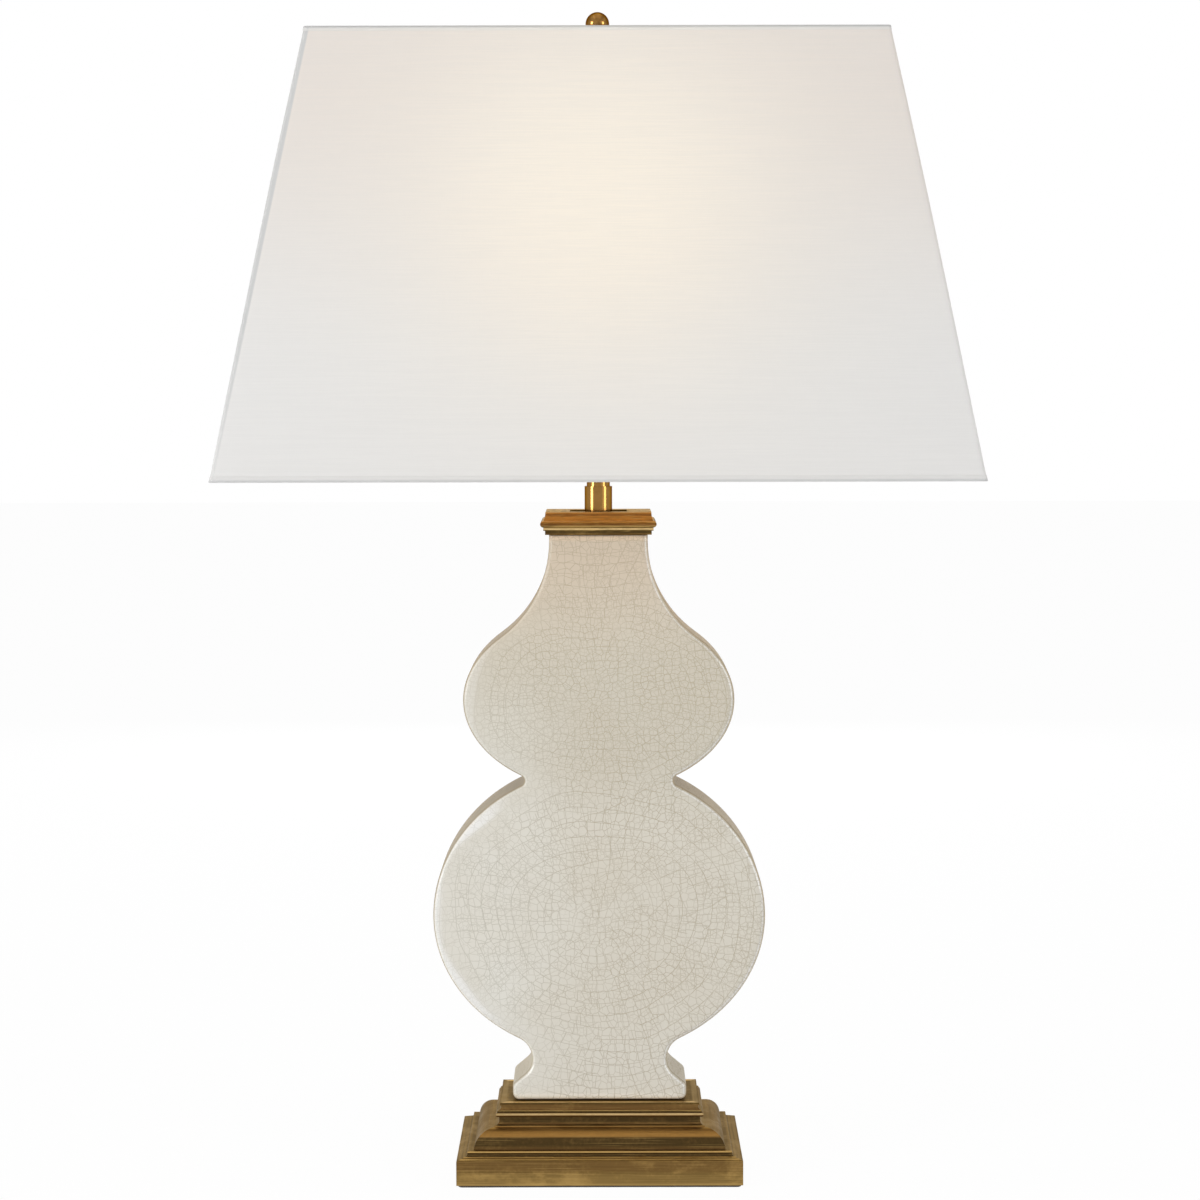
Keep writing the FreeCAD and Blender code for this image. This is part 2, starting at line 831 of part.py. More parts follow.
def cap_moulding():
    """Mitred cap with a pocket in its top that the neck tube stands in."""
    width = 2 * (neck_half_width + cap_side_overhang + cap_bead_reach)
    depth = gourd_depth + 2 * (cap_front_overhang + cap_bead_reach)
    cove_foot = (cap_bead_reach, cap_band_height)
    cove_end = (cap_bead_reach - cap_cove_reach, cap_bead_bottom)
    bead_centre = (cap_bead_radius, cap_bead_bottom + cap_bead_radius)
    hollow_foot = (cap_bead_radius, cap_bead_top)
    hollow_end = (cap_bead_radius + cap_hollow_setback, cap_height)
    profile = [
        (cap_bead_reach, 0, None),
        (*cove_foot, None),
        (cove_end[0], cap_band_height, None),
        (*cove_end, None),
        (cap_bead_radius, cap_bead_bottom, None),
        (0, bead_centre[1], bead_centre),
        (*hollow_foot, bead_centre),
        (*hollow_end, hollow_centre(hollow_foot, hollow_end, cap_hollow_bow)),
    ]
    outer = moulded(width, depth, cap_bottom, profile)
    inset = 2 * (cap_bead_reach + cap_wall)
    room = block(width - inset, depth - inset, cap_bottom, neck_bottom - cap_wall)
    pocket = block(cap_pocket_width, cap_pocket_depth, neck_bottom, cap_top)
    hole = post(pipe_hole, cap_bottom, cap_top)
    return outer.cut(Part.makeCompound([room, pocket, hole]))


def neck_tube():
    radius = neck_tube_diameter / 2
    barrel = ring(radius, radius - neck_tube_wall, neck_bottom, neck_top - neck_tube_top)
    lid = ring(radius, pipe_hole, neck_top - neck_tube_top, neck_top)
    return barrel.fuse(lid).removeSplitter()


def neck_collar():
    return ring(collar_diameter / 2, pipe_hole, neck_top, collar_top)


def center_pipe():
    low = nut_bottom() - pipe_tail
    return ring(pipe_radius, pipe_bore, low, dome_top)


def nut_top():
    return weight_bottom + nut_pocket_depth - washer_thickness


def nut_bottom():
    return nut_top() - nut_thickness


def pipe_washer():
    return ring(washer_radius, pipe_hole, nut_top(), nut_top() + washer_thickness)


def pipe_nut():
    corner = nut_across_flats / math.sqrt(3)
    points = []
    for step in range(7):
        angle = math.radians(60 * step)
        points.append(Vector(corner * math.cos(angle), corner * math.sin(angle), nut_bottom()))
    prism = Part.Face(Part.makePolygon(points)).extrude(Vector(0, 0, nut_thickness))
    return prism.cut(post(pipe_radius, nut_bottom(), nut_top()))


# Socket and switch

def harp_saddle():
    """Bent strip with an upturned arm and a peg at each end."""
    outer = leg_x + saddle_thickness / 2
    inner = outer - saddle_thickness
    bend = saddle_bend_radius + saddle_thickness
    pen = Outline(-(outer - bend), collar_top)
    pen.line(outer - bend, collar_top)
    pen.arc(outer - bend, collar_top + bend, outer, collar_top + bend)
    pen.line(outer, shoulder)
    pen.line(inner, shoulder)
    pen.line(inner, collar_top + bend)
    pen.arc(outer - bend, collar_top + bend, outer - bend, saddle_top)
    pen.line(-(outer - bend), saddle_top)
    pen.arc(-(outer - bend), collar_top + bend, -inner, collar_top + bend)
    pen.line(-inner, shoulder)
    pen.line(-outer, shoulder)
    pen.line(-outer, collar_top + bend)
    pen.arc(-(outer - bend), collar_top + bend, -(outer - bend), collar_top)
    face = pen.face()
    face.translate(Vector(0, -saddle_arm_width / 2, 0))
    strip = face.extrude(Vector(0, saddle_arm_width, 0))
    hub = post(saddle_hub_radius, collar_top, saddle_top)
    solid = strip.fuse(hub)
    for side in (-1, 1):
        peg = post(saddle_peg_radius, shoulder, shoulder + saddle_peg_height, side * leg_x)
        solid = solid.fuse(peg)
    return solid.cut(post(pipe_hole, collar_top, saddle_top)).removeSplitter()


def socket_cap():
    """Cup with a hub that screws on to the pipe and clamps the stack."""
    inner = socket_radius - socket_wall
    hub_inner = socket_hub_radius - 2 * socket_wall
    pen = Outline(pipe_radius, saddle_top)
    pen.line(socket_hub_radius, saddle_top)
    pen.line(socket_hub_radius, dome_bottom)
    pen.line(socket_radius, dome_top)
    pen.line(socket_radius, skirt_top)
    pen.line(inner, skirt_top)
    pen.line(inner, dome_top + socket_wall)
    pen.line(hub_inner, dome_bottom + socket_wall)
    pen.line(pipe_radius, dome_bottom + socket_wall)
    return revolved(pen)


def shell_radius():
    return socket_radius - socket_wall


def switch_height():
    return core_bottom + switch_lift


def toward_front(radius, start, end):
    """A rod along -Y at the height of the switch."""
    return Part.makeCylinder(radius, end - start, Vector(0, -start, switch_height()),
                             Vector(0, -1, 0))


def socket_shell():
    """Brass sleeve with a turned-in lip and a hole for the switch."""
    outer = shell_radius()
    inner = outer - socket_wall
    lip = outer - socket_lip_radius
    low = dome_top + socket_wall
    pen = Outline(outer, low)
    pen.line(outer, shell_top - lip)
    pen.arc(outer - lip, shell_top - lip, outer - lip, shell_top)
    pen.line(outer - lip, shell_top - socket_wall)
    pen.arc(outer - lip, shell_top - lip, inner, shell_top - lip)
    pen.line(inner, low)
    hole = toward_front(switch_boss_radius + switch_hole_gap, 0, 2 * socket_radius)
    return revolved(pen).cut(hole)


def socket_sleeve():
    """Insulating paper sleeve inside the brass one."""
    outer = shell_radius() - socket_wall
    top = shell_top - 2 * (shell_radius() - socket_lip_radius)
    sleeve = ring(outer, core_radius(), core_bottom, top)
    return sleeve.cut(toward_front(switch_boss_radius + switch_hole_gap, 0, 2 * socket_radius))


def core_radius():
    return shell_radius() - socket_wall - sleeve_paper_wall


def terminal_screw(side):
    """Screw head in the side of the core, flush with its curve."""
    start = Vector(side * (core_radius() - terminal_screw_reach), 0, switch_height())
    head = Part.makeCylinder(terminal_screw_radius, terminal_screw_reach, start,
                             Vector(side, 0, 0))
    return head.common(post(core_radius(), core_bottom, core_top))


def socket_core():
    """Moulded insulator that carries the switch, terminals and screw shell."""
    core = post(core_radius(), core_bottom, core_top)
    boss = toward_front(switch_boss_radius, 0, socket_radius + switch_boss_reach)
    stem_hole = toward_front(switch_stem_radius + turning_clearance, 0,
                             socket_radius + switch_boss_reach)
    wire_hole = post(pipe_bore, core_bottom, core_bottom + switch_lift - switch_boss_radius)
    cuts = [stem_hole, wire_hole, terminal_screw(-1), terminal_screw(1)]
    return core.fuse(boss).cut(Part.makeCompound(cuts)).removeSplitter()


def screw_shell():
    """Threaded cup, drawn smooth, open in the middle of its floor."""
    outer = screw_shell_radius + screw_shell_wall
    cup = post(outer, screw_shell_bottom, screw_shell_top)
    room = post(screw_shell_radius, screw_shell_bottom + screw_shell_wall, screw_shell_top)
    hole = post(contact_radius + contact_gap, screw_shell_bottom, screw_shell_top)
    return cup.cut(Part.makeCompound([room, hole]))


def center_contact():
    return post(contact_radius, core_top, bulb_tip)


def knob_start():
    return socket_radius + switch_boss_reach + knob_gap


def switch_stem():
    return toward_front(switch_stem_radius, end_gap, knob_start() + knob_length / 2)


def switch_knob():
    """Round fluted knob with a waist near the socket."""
    start = knob_start()
    half_flute = knob_flute_radius / 2
    pen = Outline(0, 0)
    pen.line(knob_radius - knob_waist, 0)
    pen.line(knob_radius - knob_waist, knob_length / 4)
    pen.line(knob_radius, knob_length / 2)
    pen.line(knob_radius, knob_length - half_flute)
    pen.line(knob_radius - half_flute, knob_length)
    pen.line(0, knob_length)
    knob = revolved(pen)
    flutes = []
    for step in range(knob_flutes):
        angle = 2 * math.pi * step / knob_flutes
        reach = knob_radius + half_flute
        flutes.append(post(knob_flute_radius, knob_length / 2 - knob_flute_radius, knob_length,
                           reach * math.cos(angle), reach * math.sin(angle)))
    knob = knob.cut(Part.makeCompound(flutes))
    knob = knob.cut(post(switch_stem_radius, 0, knob_length / 2))
    knob.rotate(Vector(0, 0, 0), Vector(1, 0, 0), 90)
    knob.translate(Vector(0, -start, switch_height()))
    return knob


# Bulb

def bulb_cap_radius():
    return screw_shell_radius - sliding_clearance


def bulb_cap():
    """Metal screw cap of the bulb, drawn smooth, tapered at its foot."""
    radius = bulb_cap_radius()
    pen = Outline(0, bulb_cap_bottom)
    pen.line(bulb_contact_radius + bulb_insulator_width, bulb_cap_bottom)
    pen.line(radius, bulb_cap_bottom + bulb_cap_taper)
    pen.line(radius, bulb_cap_top)
    pen.line(0, bulb_cap_top)
    return revolved(pen)


def bulb_contact():
    pen = Outline(0, bulb_tip)
    pen.line(bulb_contact_radius / 2, bulb_tip)
    pen.line(bulb_contact_radius, bulb_cap_bottom)
    pen.line(0, bulb_cap_bottom)
    return revolved(pen)


def bulb_profile(inset):
    """Pear outline from the neck to the crown: a cone blended into a ball."""
    ball = bulb_radius - inset
    centre = bulb_cap_top + bulb_glass_length - bulb_radius
    neck = min(bulb_neck_radius, bulb_cap_radius()) - inset
    low = bulb_cap_top + inset
    neck_top_here = bulb_cap_top + bulb_neck_rise
    # The side of the cone touches the ball.
    drop = centre - neck_top_here
    distance = math.hypot(neck, drop)
    tilt = math.acos(ball / distance)
    bearing = math.atan2(-drop, neck)
    angle = bearing + tilt
    touch = (ball * math.cos(angle), centre + ball * math.sin(angle))
    pen = Outline(0, low)
    pen.line(neck, low)
    pen.line(neck, neck_top_here)
    pen.line(*touch)
    pen.arc(0, centre, ball, centre)
    pen.arc(0, centre, 0, centre + ball)
    return pen


def bulb_glass():
    return revolved(bulb_profile(0)).cut(revolved(bulb_profile(bulb_glass_wall)))


# Harp

def harp_half_width():
    return bulb_radius + harp_bulb_gap + harp_wire_radius


def ferrule_bore_radius():
    return saddle_peg_radius + sliding_clearance


def ferrule_radius():
    return ferrule_bore_radius() + ferrule_wall


def harp_loop():
    """Bowed wire loop with a ferrule on each foot and a pad at the top."""
    half = harp_half_width()
    leg_top = shoulder + harp_leg_straight
    taper = harp_top - harp_taper_drop
    right = [(leg_x, shoulder + ferrule_length / 2), (leg_x, leg_top),
             (half, leg_top + harp_bow_rise), (half, taper),
             (harp_top_half_width, harp_top)]
    bends = [harp_leg_bend, harp_bow_bend, harp_taper_bend, harp_top_bend]
    points = right + [(-x, z) for x, z in reversed(right)]
    path = bent_path(points, bends + bends[::-1])
    start = Vector(leg_x, 0, shoulder + ferrule_length / 2)
    circle = Part.Wire(Part.makeCircle(harp_wire_radius, start, Vector(0, 0, 1)))
    loop = path.makePipeShell([circle], True, False)
    low = harp_top - harp_wire_radius
    high = harp_top + harp_wire_radius
    loop = loop.fuse(post(harp_pad_radius, low, high))
    for side in (-1, 1):
        loop = loop.fuse(post(ferrule_radius(), shoulder, shoulder + ferrule_length, side * leg_x))
    holes = [post(stud_neck_radius + turning_clearance, low, high)]
    for side in (-1, 1):
        holes.append(post(ferrule_bore_radius(), shoulder, shoulder + ferrule_bore_depth,
                          side * leg_x))
    return loop.cut(Part.makeCompound(holes)).removeSplitter()


def harp_sleeve(side):
    """Short sleeve with rolled ends that locks a leg of the harp to the saddle."""
    inner = ferrule_radius() + sliding_clearance
    outer = inner + harp_sleeve_wall
    low, high = shoulder, shoulder + harp_sleeve_length
    roll = harp_sleeve_roll
    pen = Outline(inner, low)
    pen.line(outer, low)
    pen.line(outer + roll, low + roll)
    pen.line(outer, low + 2 * roll)
    pen.line(outer, high - 2 * roll)
    pen.line(outer + roll, high - roll)
    pen.line(outer, high)
    pen.line(inner, high)
    sleeve = revolved(pen)
    sleeve.translate(Vector(side * leg_x, 0, 0))
    return sleeve


def harp_stud():
    """Swivel stud: rivet head, neck in the pad, seat and threaded post."""
    pad_bottom = harp_top - harp_wire_radius
    rivet_top = pad_bottom - swivel_play
    pen = Outline(0, rivet_top - stud_rivet_thickness)
    pen.line(stud_rivet_radius, rivet_top - stud_rivet_thickness)
    pen.line(stud_rivet_radius, rivet_top)
    pen.line(stud_neck_radius, rivet_top)
    pen.line(stud_neck_radius, seat_bottom)
    pen.line(stud_seat_radius, seat_bottom)
    pen.line(stud_seat_radius, seat_top)
    pen.line(stud_thread_radius, seat_top)
    pen.line(stud_thread_radius, seat_top + stud_thread_length)
    pen.line(0, seat_top + stud_thread_length)
    return revolved(pen)


# Shade

def shade_inset(z, thickness):
    """How far the sides and the front have come in at a height.

    thickness is measured square to the sloping wall, from the linen's face.
    """
    share = (z - shade_bottom) / shade_height
    insets = []
    for taper in (shade_side_taper, shade_front_taper):
        level = thickness * math.hypot(taper, shade_height) / shade_height
        insets.append(taper * share + level)
    return insets


def shade_line(z, thickness):
    """Level outline of the shade at a depth under the linen's face."""
    side, front = shade_inset(z, thickness)
    corner = max(shade_corner_radius - thickness, trim_thickness)
    return rounded_rectangle(shade_bottom_width - 2 * side, shade_bottom_depth - 2 * front,
                             corner, z)


def shade_layer(thickness, low, high):
    """Solid frustum of the shade between two heights."""
    return Part.makeLoft([shade_line(low, thickness), shade_line(high, thickness)], True, True)


def shade_cover():
    outer = shade_layer(0, shade_bottom, shade_top)
    return outer.cut(shade_layer(linen_thickness, shade_bottom, shade_top))


def shade_liner():
    outer = shade_layer(linen_thickness, shade_bottom, shade_top)
    return outer.cut(shade_layer(linen_thickness + liner_thickness, shade_bottom, shade_top))


def wire_depth():
    """Depth of a ring wire's middle under the linen's face."""
    return linen_thickness + liner_thickness + shade_wire_radius


def wire_height(top):
    return shade_top - shade_wire_radius if top else shade_bottom + shade_wire_radius


def shade_wire(top):
    """Rectangular ring of round wire inside an edge of the shade."""
    z = wire_height(top)
    path = shade_line(z, wire_depth())
    start = Vector(0, path.BoundBox.YMin, z)
    circle = Part.Wire(Part.makeCircle(shade_wire_radius, start, Vector(1, 0, 0)))
    return path.makePipeShell([circle], True, False)


def shade_trim(top):
    """Folded linen tape round an edge of the shade and its ring wire."""
    edge = shade_top if top else shade_bottom
    inward = -1 if top else 1
    height = top_trim_height if top else bottom_trim_height
    pocket = wire_depth() + shade_wire_radius
    outside = edge - inward * trim_thickness
    low, high = sorted((outside, edge + inward * height))
    leaf = shade_layer(-trim_thickness, low, high).cut(shade_layer(0, low, high))
    low, high = sorted((outside, edge + inward * trim_turn_in))
    turn = shade_layer(pocket, low, high)
    turn = turn.cut(shade_layer(pocket + trim_thickness, low, high))
    low, high = sorted((outside, edge))
    web = shade_layer(0, low, high).cut(shade_layer(pocket, low, high))
    trim = leaf.fuse([turn, web]).removeSplitter()
    return trim.cut(Part.makeCompound(list(spider_arms().values()))) if top else trim


def spider_washer():
    bore = stud_thread_radius + sliding_clearance
    return ring(spider_washer_radius, bore, seat_top, washer_top)


def spider_arms():
    """The four rods by name."""
    return {"left": spider_arm(-1, 0), "right": spider_arm(1, 0),
            "front": spider_arm(0, -1), "back": spider_arm(0, 1)}


def spider_arm(dx, dy):
    """Rod from the washer to the middle of one side of the top ring."""
    z = wire_height(True)
    side, front = shade_inset(z, wire_depth())
    reach = shade_bottom_width / 2 - side if dx else shade_bottom_depth / 2 - front
    middle = (seat_top + washer_top) / 2
    start = spider_washer_radius - spider_arm_lap
    first = Vector(dx * start, dy * start, middle)
    last = Vector(dx * reach, dy * reach, z)
    run = last - first
    rod = Part.makeCylinder(spider_arm_radius, run.Length, first, run)
    return biggest_solid(rod.cut(spider_washer()).cut(shade_wire(True)))


def biggest_solid(shape):
    return max(shape.Solids, key=lambda solid: solid.Volume)


# Finial

def finial_bore():
    return post(stud_thread_radius + sliding_clearance, washer_top,
                seat_top + stud_thread_length + end_gap)


def finial_base():
    """Turned flange and waisted stem that screw on to the stud."""
    flange_top = washer_top + finial_flange_thickness
    waist = (flange_top + stem_top) / 2
    pen = Outline(0, washer_top)
    pen.line(finial_flange_radius, washer_top)
    pen.line(finial_flange_radius, flange_top - finial_flange_thickness / 3)
    pen.line(finial_flange_radius - finial_flange_thickness / 3, flange_top)
    pen.line(finial_stem_radius, flange_top)
    pen.line(finial_waist_radius, waist)
    pen.line(finial_stem_radius, stem_top)
    pen.line(0, stem_top)
    return revolved(pen).cut(finial_bore()).cut(ball())


def ball():
    return Part.makeSphere(finial_ball_radius, Vector(0, 0, ball_centre))


def finial_ball():
    return ball().cut(finial_bore())


PIECES = {
    "felt_pad": felt_pad,
    "bottom_plate": bottom_plate,
    "base_weight": base_weight,
    "base_plinth": base_plinth,
    "base_moulding": base_moulding,
    "base_top_tier": base_top_tier,
    "cord_bushing": cord_bushing,
    "foot_gasket": foot_gasket,
    "gourd_body": gourd_body,
    "cap_gasket": cap_gasket,
    "cap_moulding": cap_moulding,
    "center_pipe": center_pipe,
    "pipe_washer": pipe_washer,
    "pipe_nut": pipe_nut,
    "neck_tube": neck_tube,
    "neck_collar": neck_collar,
    "harp_saddle": harp_saddle,
    "socket_cap": socket_cap,
    "socket_shell": socket_shell,
    "socket_sleeve": socket_sleeve,
    "socket_core": socket_core,
    "terminal_screw_left": lambda: terminal_screw(-1),
    "terminal_screw_right": lambda: terminal_screw(1),
    "screw_shell": screw_shell,
    "center_contact": center_contact,
    "switch_stem": switch_stem,
    "switch_knob": switch_knob,
    "bulb_cap": bulb_cap,
    "bulb_contact": bulb_contact,
    "bulb_glass": bulb_glass,
    "harp_loop": harp_loop,
    "harp_sleeve_left": lambda: harp_sleeve(-1),
    "harp_sleeve_right": lambda: harp_sleeve(1),
    "harp_stud": harp_stud,
    "shade_cover": shade_cover,
    "shade_liner": shade_liner,
    "shade_top_ring": lambda: shade_wire(True),
    "shade_bottom_ring": lambda: shade_wire(False),
    "shade_top_trim": lambda: shade_trim(True),
    "shade_bottom_trim": lambda: shade_trim(False),
    "spider_washer": spider_washer,
    "spider_arm_left": lambda: spider_arm(-1, 0),
    "spider_arm_right": lambda: spider_arm(1, 0),
    "spider_arm_front": lambda: spider_arm(0, -1),
    "spider_arm_back": lambda: spider_arm(0, 1),
    "finial_base": finial_base,
    "finial_ball": finial_ball,
}


def main():
    os.makedirs("parts", exist_ok=True)
    for name, build in PIECES.items():
        shape = build()
        shape.exportStep(f"parts/{name}.step")
        print(f"{name}: {len(shape.Solids)} solid(s), valid {shape.isValid()}, "
              f"volume {shape.Volume:.0f}")
    print(f"total height {total_height:.1f}, shade {shade_bottom:.1f} to {shade_top:.1f}")


main()
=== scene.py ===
"""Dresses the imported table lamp: a flat double gourd of crackled ceramic under a linen shade.

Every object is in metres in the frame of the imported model: +Z up, the front
towards -Y, the origin under the middle of the felt. The rigid pieces of the
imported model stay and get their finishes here. The linen, its folded trims, the
felt, the bulb's screw cap and the swivel stud are built here in full.
"""
import math

import bmesh
import bpy
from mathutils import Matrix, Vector


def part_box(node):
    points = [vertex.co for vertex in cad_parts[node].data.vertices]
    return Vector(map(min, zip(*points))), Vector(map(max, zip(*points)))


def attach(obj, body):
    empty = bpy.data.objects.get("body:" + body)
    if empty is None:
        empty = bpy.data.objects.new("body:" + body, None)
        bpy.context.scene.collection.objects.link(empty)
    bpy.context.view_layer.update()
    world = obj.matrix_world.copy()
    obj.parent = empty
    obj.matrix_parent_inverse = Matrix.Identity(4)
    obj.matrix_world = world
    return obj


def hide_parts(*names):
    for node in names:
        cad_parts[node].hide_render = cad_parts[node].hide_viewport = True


bl_info = {
    "name": "Double Gourd Lamp",
    "version": (1, 0, 0),
    "blender": (4, 5, 0),
    "location": "3D View > Sidebar > Lamp",
    "description": "Finishes, cloth and lights for a ceramic double gourd table lamp",
    "category": "Object",
}

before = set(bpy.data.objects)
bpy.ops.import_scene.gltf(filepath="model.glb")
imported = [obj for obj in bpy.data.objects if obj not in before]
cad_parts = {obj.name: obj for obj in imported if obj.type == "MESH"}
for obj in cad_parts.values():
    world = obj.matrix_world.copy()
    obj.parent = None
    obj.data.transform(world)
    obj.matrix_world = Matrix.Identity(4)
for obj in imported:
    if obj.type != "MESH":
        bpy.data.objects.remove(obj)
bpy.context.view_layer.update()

MM = 0.001
TURN = 2 * math.pi
WHITE = (1.0, 1.0, 1.0, 1.0)
PAPER = (0.93, 0.93, 0.93, 1.0)


# Settings

def swatch(name, description, default):
    """A colour to choose."""
    return bpy.props.FloatVectorProperty(
        name=name, description=description, default=default, subtype="COLOR")


def number(name, description, default, **kind):
    """A number to choose, with the unit or subtype that fits."""
    return bpy.props.FloatProperty(
        name=name, description=description, default=default, **kind)


def length(name, description, default):
    """A length to choose, in metres."""
    return number(name, description, default, unit="LENGTH")


def tilt(name, description, degrees):
    """An angle to choose."""
    return number(name, description, math.radians(degrees), subtype="ANGLE", unit="ROTATION")


def watts(name, description, default):
    """The power of a lamp to choose, in watts."""
    return number(name, description, default, unit="POWER")


class StageSettings(bpy.types.PropertyGroup):
    """Camera, lamps and surroundings."""

    camera_distance: length("Camera Distance", "From the lamp's axis to the camera", 2.0928)
    camera_height: length("Camera Height", "Above the table", 0.5462)
    camera_side: length("Camera Side", "How far the camera stands to the right", 0.0013)
    camera_pitch: tilt("Camera Pitch", "How far the camera looks down", 4.079)
    camera_roll: tilt("Camera Roll", "How far the camera leans to the right", 0.12)
    focal_length: number("Focal Length", "For a frame 36 mm wide, in millimetres",
                         90.79, unit="CAMERA")
    sky: number("Sky", "Strength of the light from all round", 0.375)
    left_power: watts("Left", "Power of the tall soft box at the left", 60.0)
    right_power: watts("Right", "Power of the weaker soft box at the right", 31.0)
    fill_power: watts("Fill", "Power of the soft box at the front right", 4.0)
    top_power: watts("Top", "Power of the soft box overhead", 5.5)
    back_power: watts("Back", "Power of the soft box behind", 26.0)
    floor_white: number("Floor White", "Share of plain white that the camera sees in the floor",
                        0.97, subtype="FACTOR")


class GlazeSettings(bpy.types.PropertyGroup):
    """The crackled glaze of the gourd, with light and shade painted into it."""

    body: swatch("Body", "Glaze over the lower bulge", (0.598, 0.567, 0.494))
    # Whiter glaze at the foot, and painted light over the left side of the gourd.
    thick: swatch("Thick", "Whiter glaze at the foot and towards the left side",
                  (0.665, 0.652, 0.60))
    # Darker glaze over the upper bulge, as painted shade under the lamp's shade.
    upper: swatch("Upper", "Glaze over the upper bulge", (0.543, 0.510, 0.432))
    # Warmer glaze near the cap, as painted light from the bulb above.
    neck: swatch("Neck", "Warmer glaze near the cap", (0.628, 0.535, 0.425))
    # Browner glaze on the narrow walls, darkened further as painted shade.
    wall: swatch("Wall", "Glaze where it runs thin on the narrow walls", (0.475, 0.39, 0.27))
    foot_wall: swatch("Foot Wall", "The same beside the foot", (0.54, 0.485, 0.385))
    neck_wall: swatch("Neck Wall", "The same beside the neck", (0.50, 0.37, 0.24))
    crack: swatch("Crack", "Stain in the cracks", (0.265, 0.205, 0.11))
    # The crack stain under the painted light at the left side.
    left_lit_crack: swatch("Grey Crack", "The same towards the left side", (0.25, 0.225, 0.15))
    # Painted highlight along the left edges of the bulges, and a painted glint along the right
    # edges.
    pool: swatch("Pool", "Whitest glaze, along the rims", (0.745, 0.737, 0.713))
    # Painted light at the very top of the gourd, over the cap's shadow.
    lip: swatch("Lip", "Glaze at the very top, under the cap", (0.85, 0.66, 0.47))
    # Painted shade: a dark outline along the edges of the back and the front, and on the walls
    # that face the left.
    painted_edge_shade: swatch("Back Rim", "Thin glaze round the edge of the back", (0.33, 0.28, 0.20))
    # Painted highlight on the rounded edges that face the left, and painted light along the
    # foot's lower edge.
    painted_rim_highlight: swatch("Rim", "Glaze where it lies thick on the rounded rims", (0.84, 0.82, 0.76))
    long_gap: length("Long Gap", "Distance between the long curved cracks", 0.0092)
    large_cell: length("Large Cell", "Size of the cells between the first cracks", 0.0052)
    small_cell: length("Small Cell", "Size of the cells that later cracks cut them into",
                       0.0031)
    crack_width: length("Crack Width", "Width of a crack with its stain", 0.0003)
    soft_rim: length("Soft Rim", "How far from the rims the glaze starts to bend away", 0.006)
    waist_height: length("Waist Height", "Where the two bulges meet", 0.2745)
    lower_centre: length("Lower Centre", "Height of the lower bulge's middle", 0.1807)
    upper_centre: length("Upper Centre", "Height of the upper bulge's middle", 0.3301)
    lower_half_width: length("Lower Half Width", "Of the lower bulge", 0.1144)
    upper_half_width: length("Upper Half Width", "Of the upper bulge", 0.0931)
    lower_half_height: length("Lower Half Height", "Of the lower bulge", 0.1)
    upper_half_height: length("Upper Half Height", "Of the upper bulge", 0.063)


class BrassSettings(bpy.types.PropertyGroup):
    """The two brass finishes."""

    antique: swatch("Antique", "Patinated brass of the base", (0.265, 0.165, 0.05))
    dark: swatch("Antique Dark", "Patina in the hollows", (0.055, 0.034, 0.012))
    worn: swatch("Antique Worn", "Rubbed brass on beads and edges", (0.52, 0.34, 0.12))
    orange: swatch("Antique Orange", "Brass that has turned orange", (0.53, 0.225, 0.05))
    brown: swatch("Antique Brown", "Browner brass above the plinth", (0.145, 0.075, 0.025))
    gold: swatch("Antique Gold", "Clearer brass on the round of the moulding",
                 (0.31, 0.165, 0.045))
    # Painted highlight on the sharpest edges, and painted light on top faces.
    bright: swatch("Antique Bright", "Polished brass on the sharpest edges", (0.85, 0.62, 0.30))
    grey: swatch("Antique Grey", "Duller brass on the flanks", (0.19, 0.145, 0.09))
    russet: swatch("Antique Russet", "Red-brown lines in the orange brass",
                   (0.20, 0.075, 0.018))
    satin: swatch("Satin", "Brass of the neck, socket, harp and finial", (0.30, 0.158, 0.044))
    satin_dark: swatch("Satin Dark", "Tarnish on it", (0.13, 0.06, 0.016))
    edge: swatch("Edge", "Tint of the antique brass where it is seen at a slant",
                 (0.70, 0.60, 0.46))
    satin_edge: swatch("Satin Edge", "The same for the satin brass", (0.42, 0.30, 0.18))
    blotch: length("Blotch", "Size of the clouds in the patina", 0.014)


class ClothSettings(bpy.types.PropertyGroup):
    """Linen, trims and felt."""

    linen: swatch("Linen", "Cloth of the shade", (0.682, 0.677, 0.67))
    # Painted light: the bulb's glow makes the cloth warmer towards the top.
    lamp_warmed_linen: swatch("Warm Linen", "Cloth towards the top edge", (0.675, 0.63, 0.594))
    # Doubled cloth at the corners and edges, and painted shade: a grey strip at the left corner
    # and grey lines along the trims' edges.
    fold_and_shade: swatch("Fold", "Cloth where it is doubled at the corners and the edges",
                 (0.52, 0.525, 0.53))
    lit_linen: swatch("Lit Linen", "Cloth in front of the bulb", (0.732, 0.69, 0.645))
    glow: swatch("Glow", "Lamplight that comes through the cloth", (0.13, 0.10, 0.038))
    glow_height: length("Glow Height", "Height of the brightest point", 0.638)
    thread: length("Thread", "Pitch of the weave", 0.00045)
    felt: swatch("Felt", "Felt under the base", (0.05, 0.045, 0.04))


def settings(group):
    """The chosen values of a group."""
    return getattr(bpy.context.scene, "lamp_" + group)


# Shader maths

def between(operation, reflected=False):
    """An operator between a wire and another one or a number."""
    def apply(wire, other):
        pair = (other, wire) if reflected else (wire, other)
        return wire.shader.math(operation, *pair)
    return apply


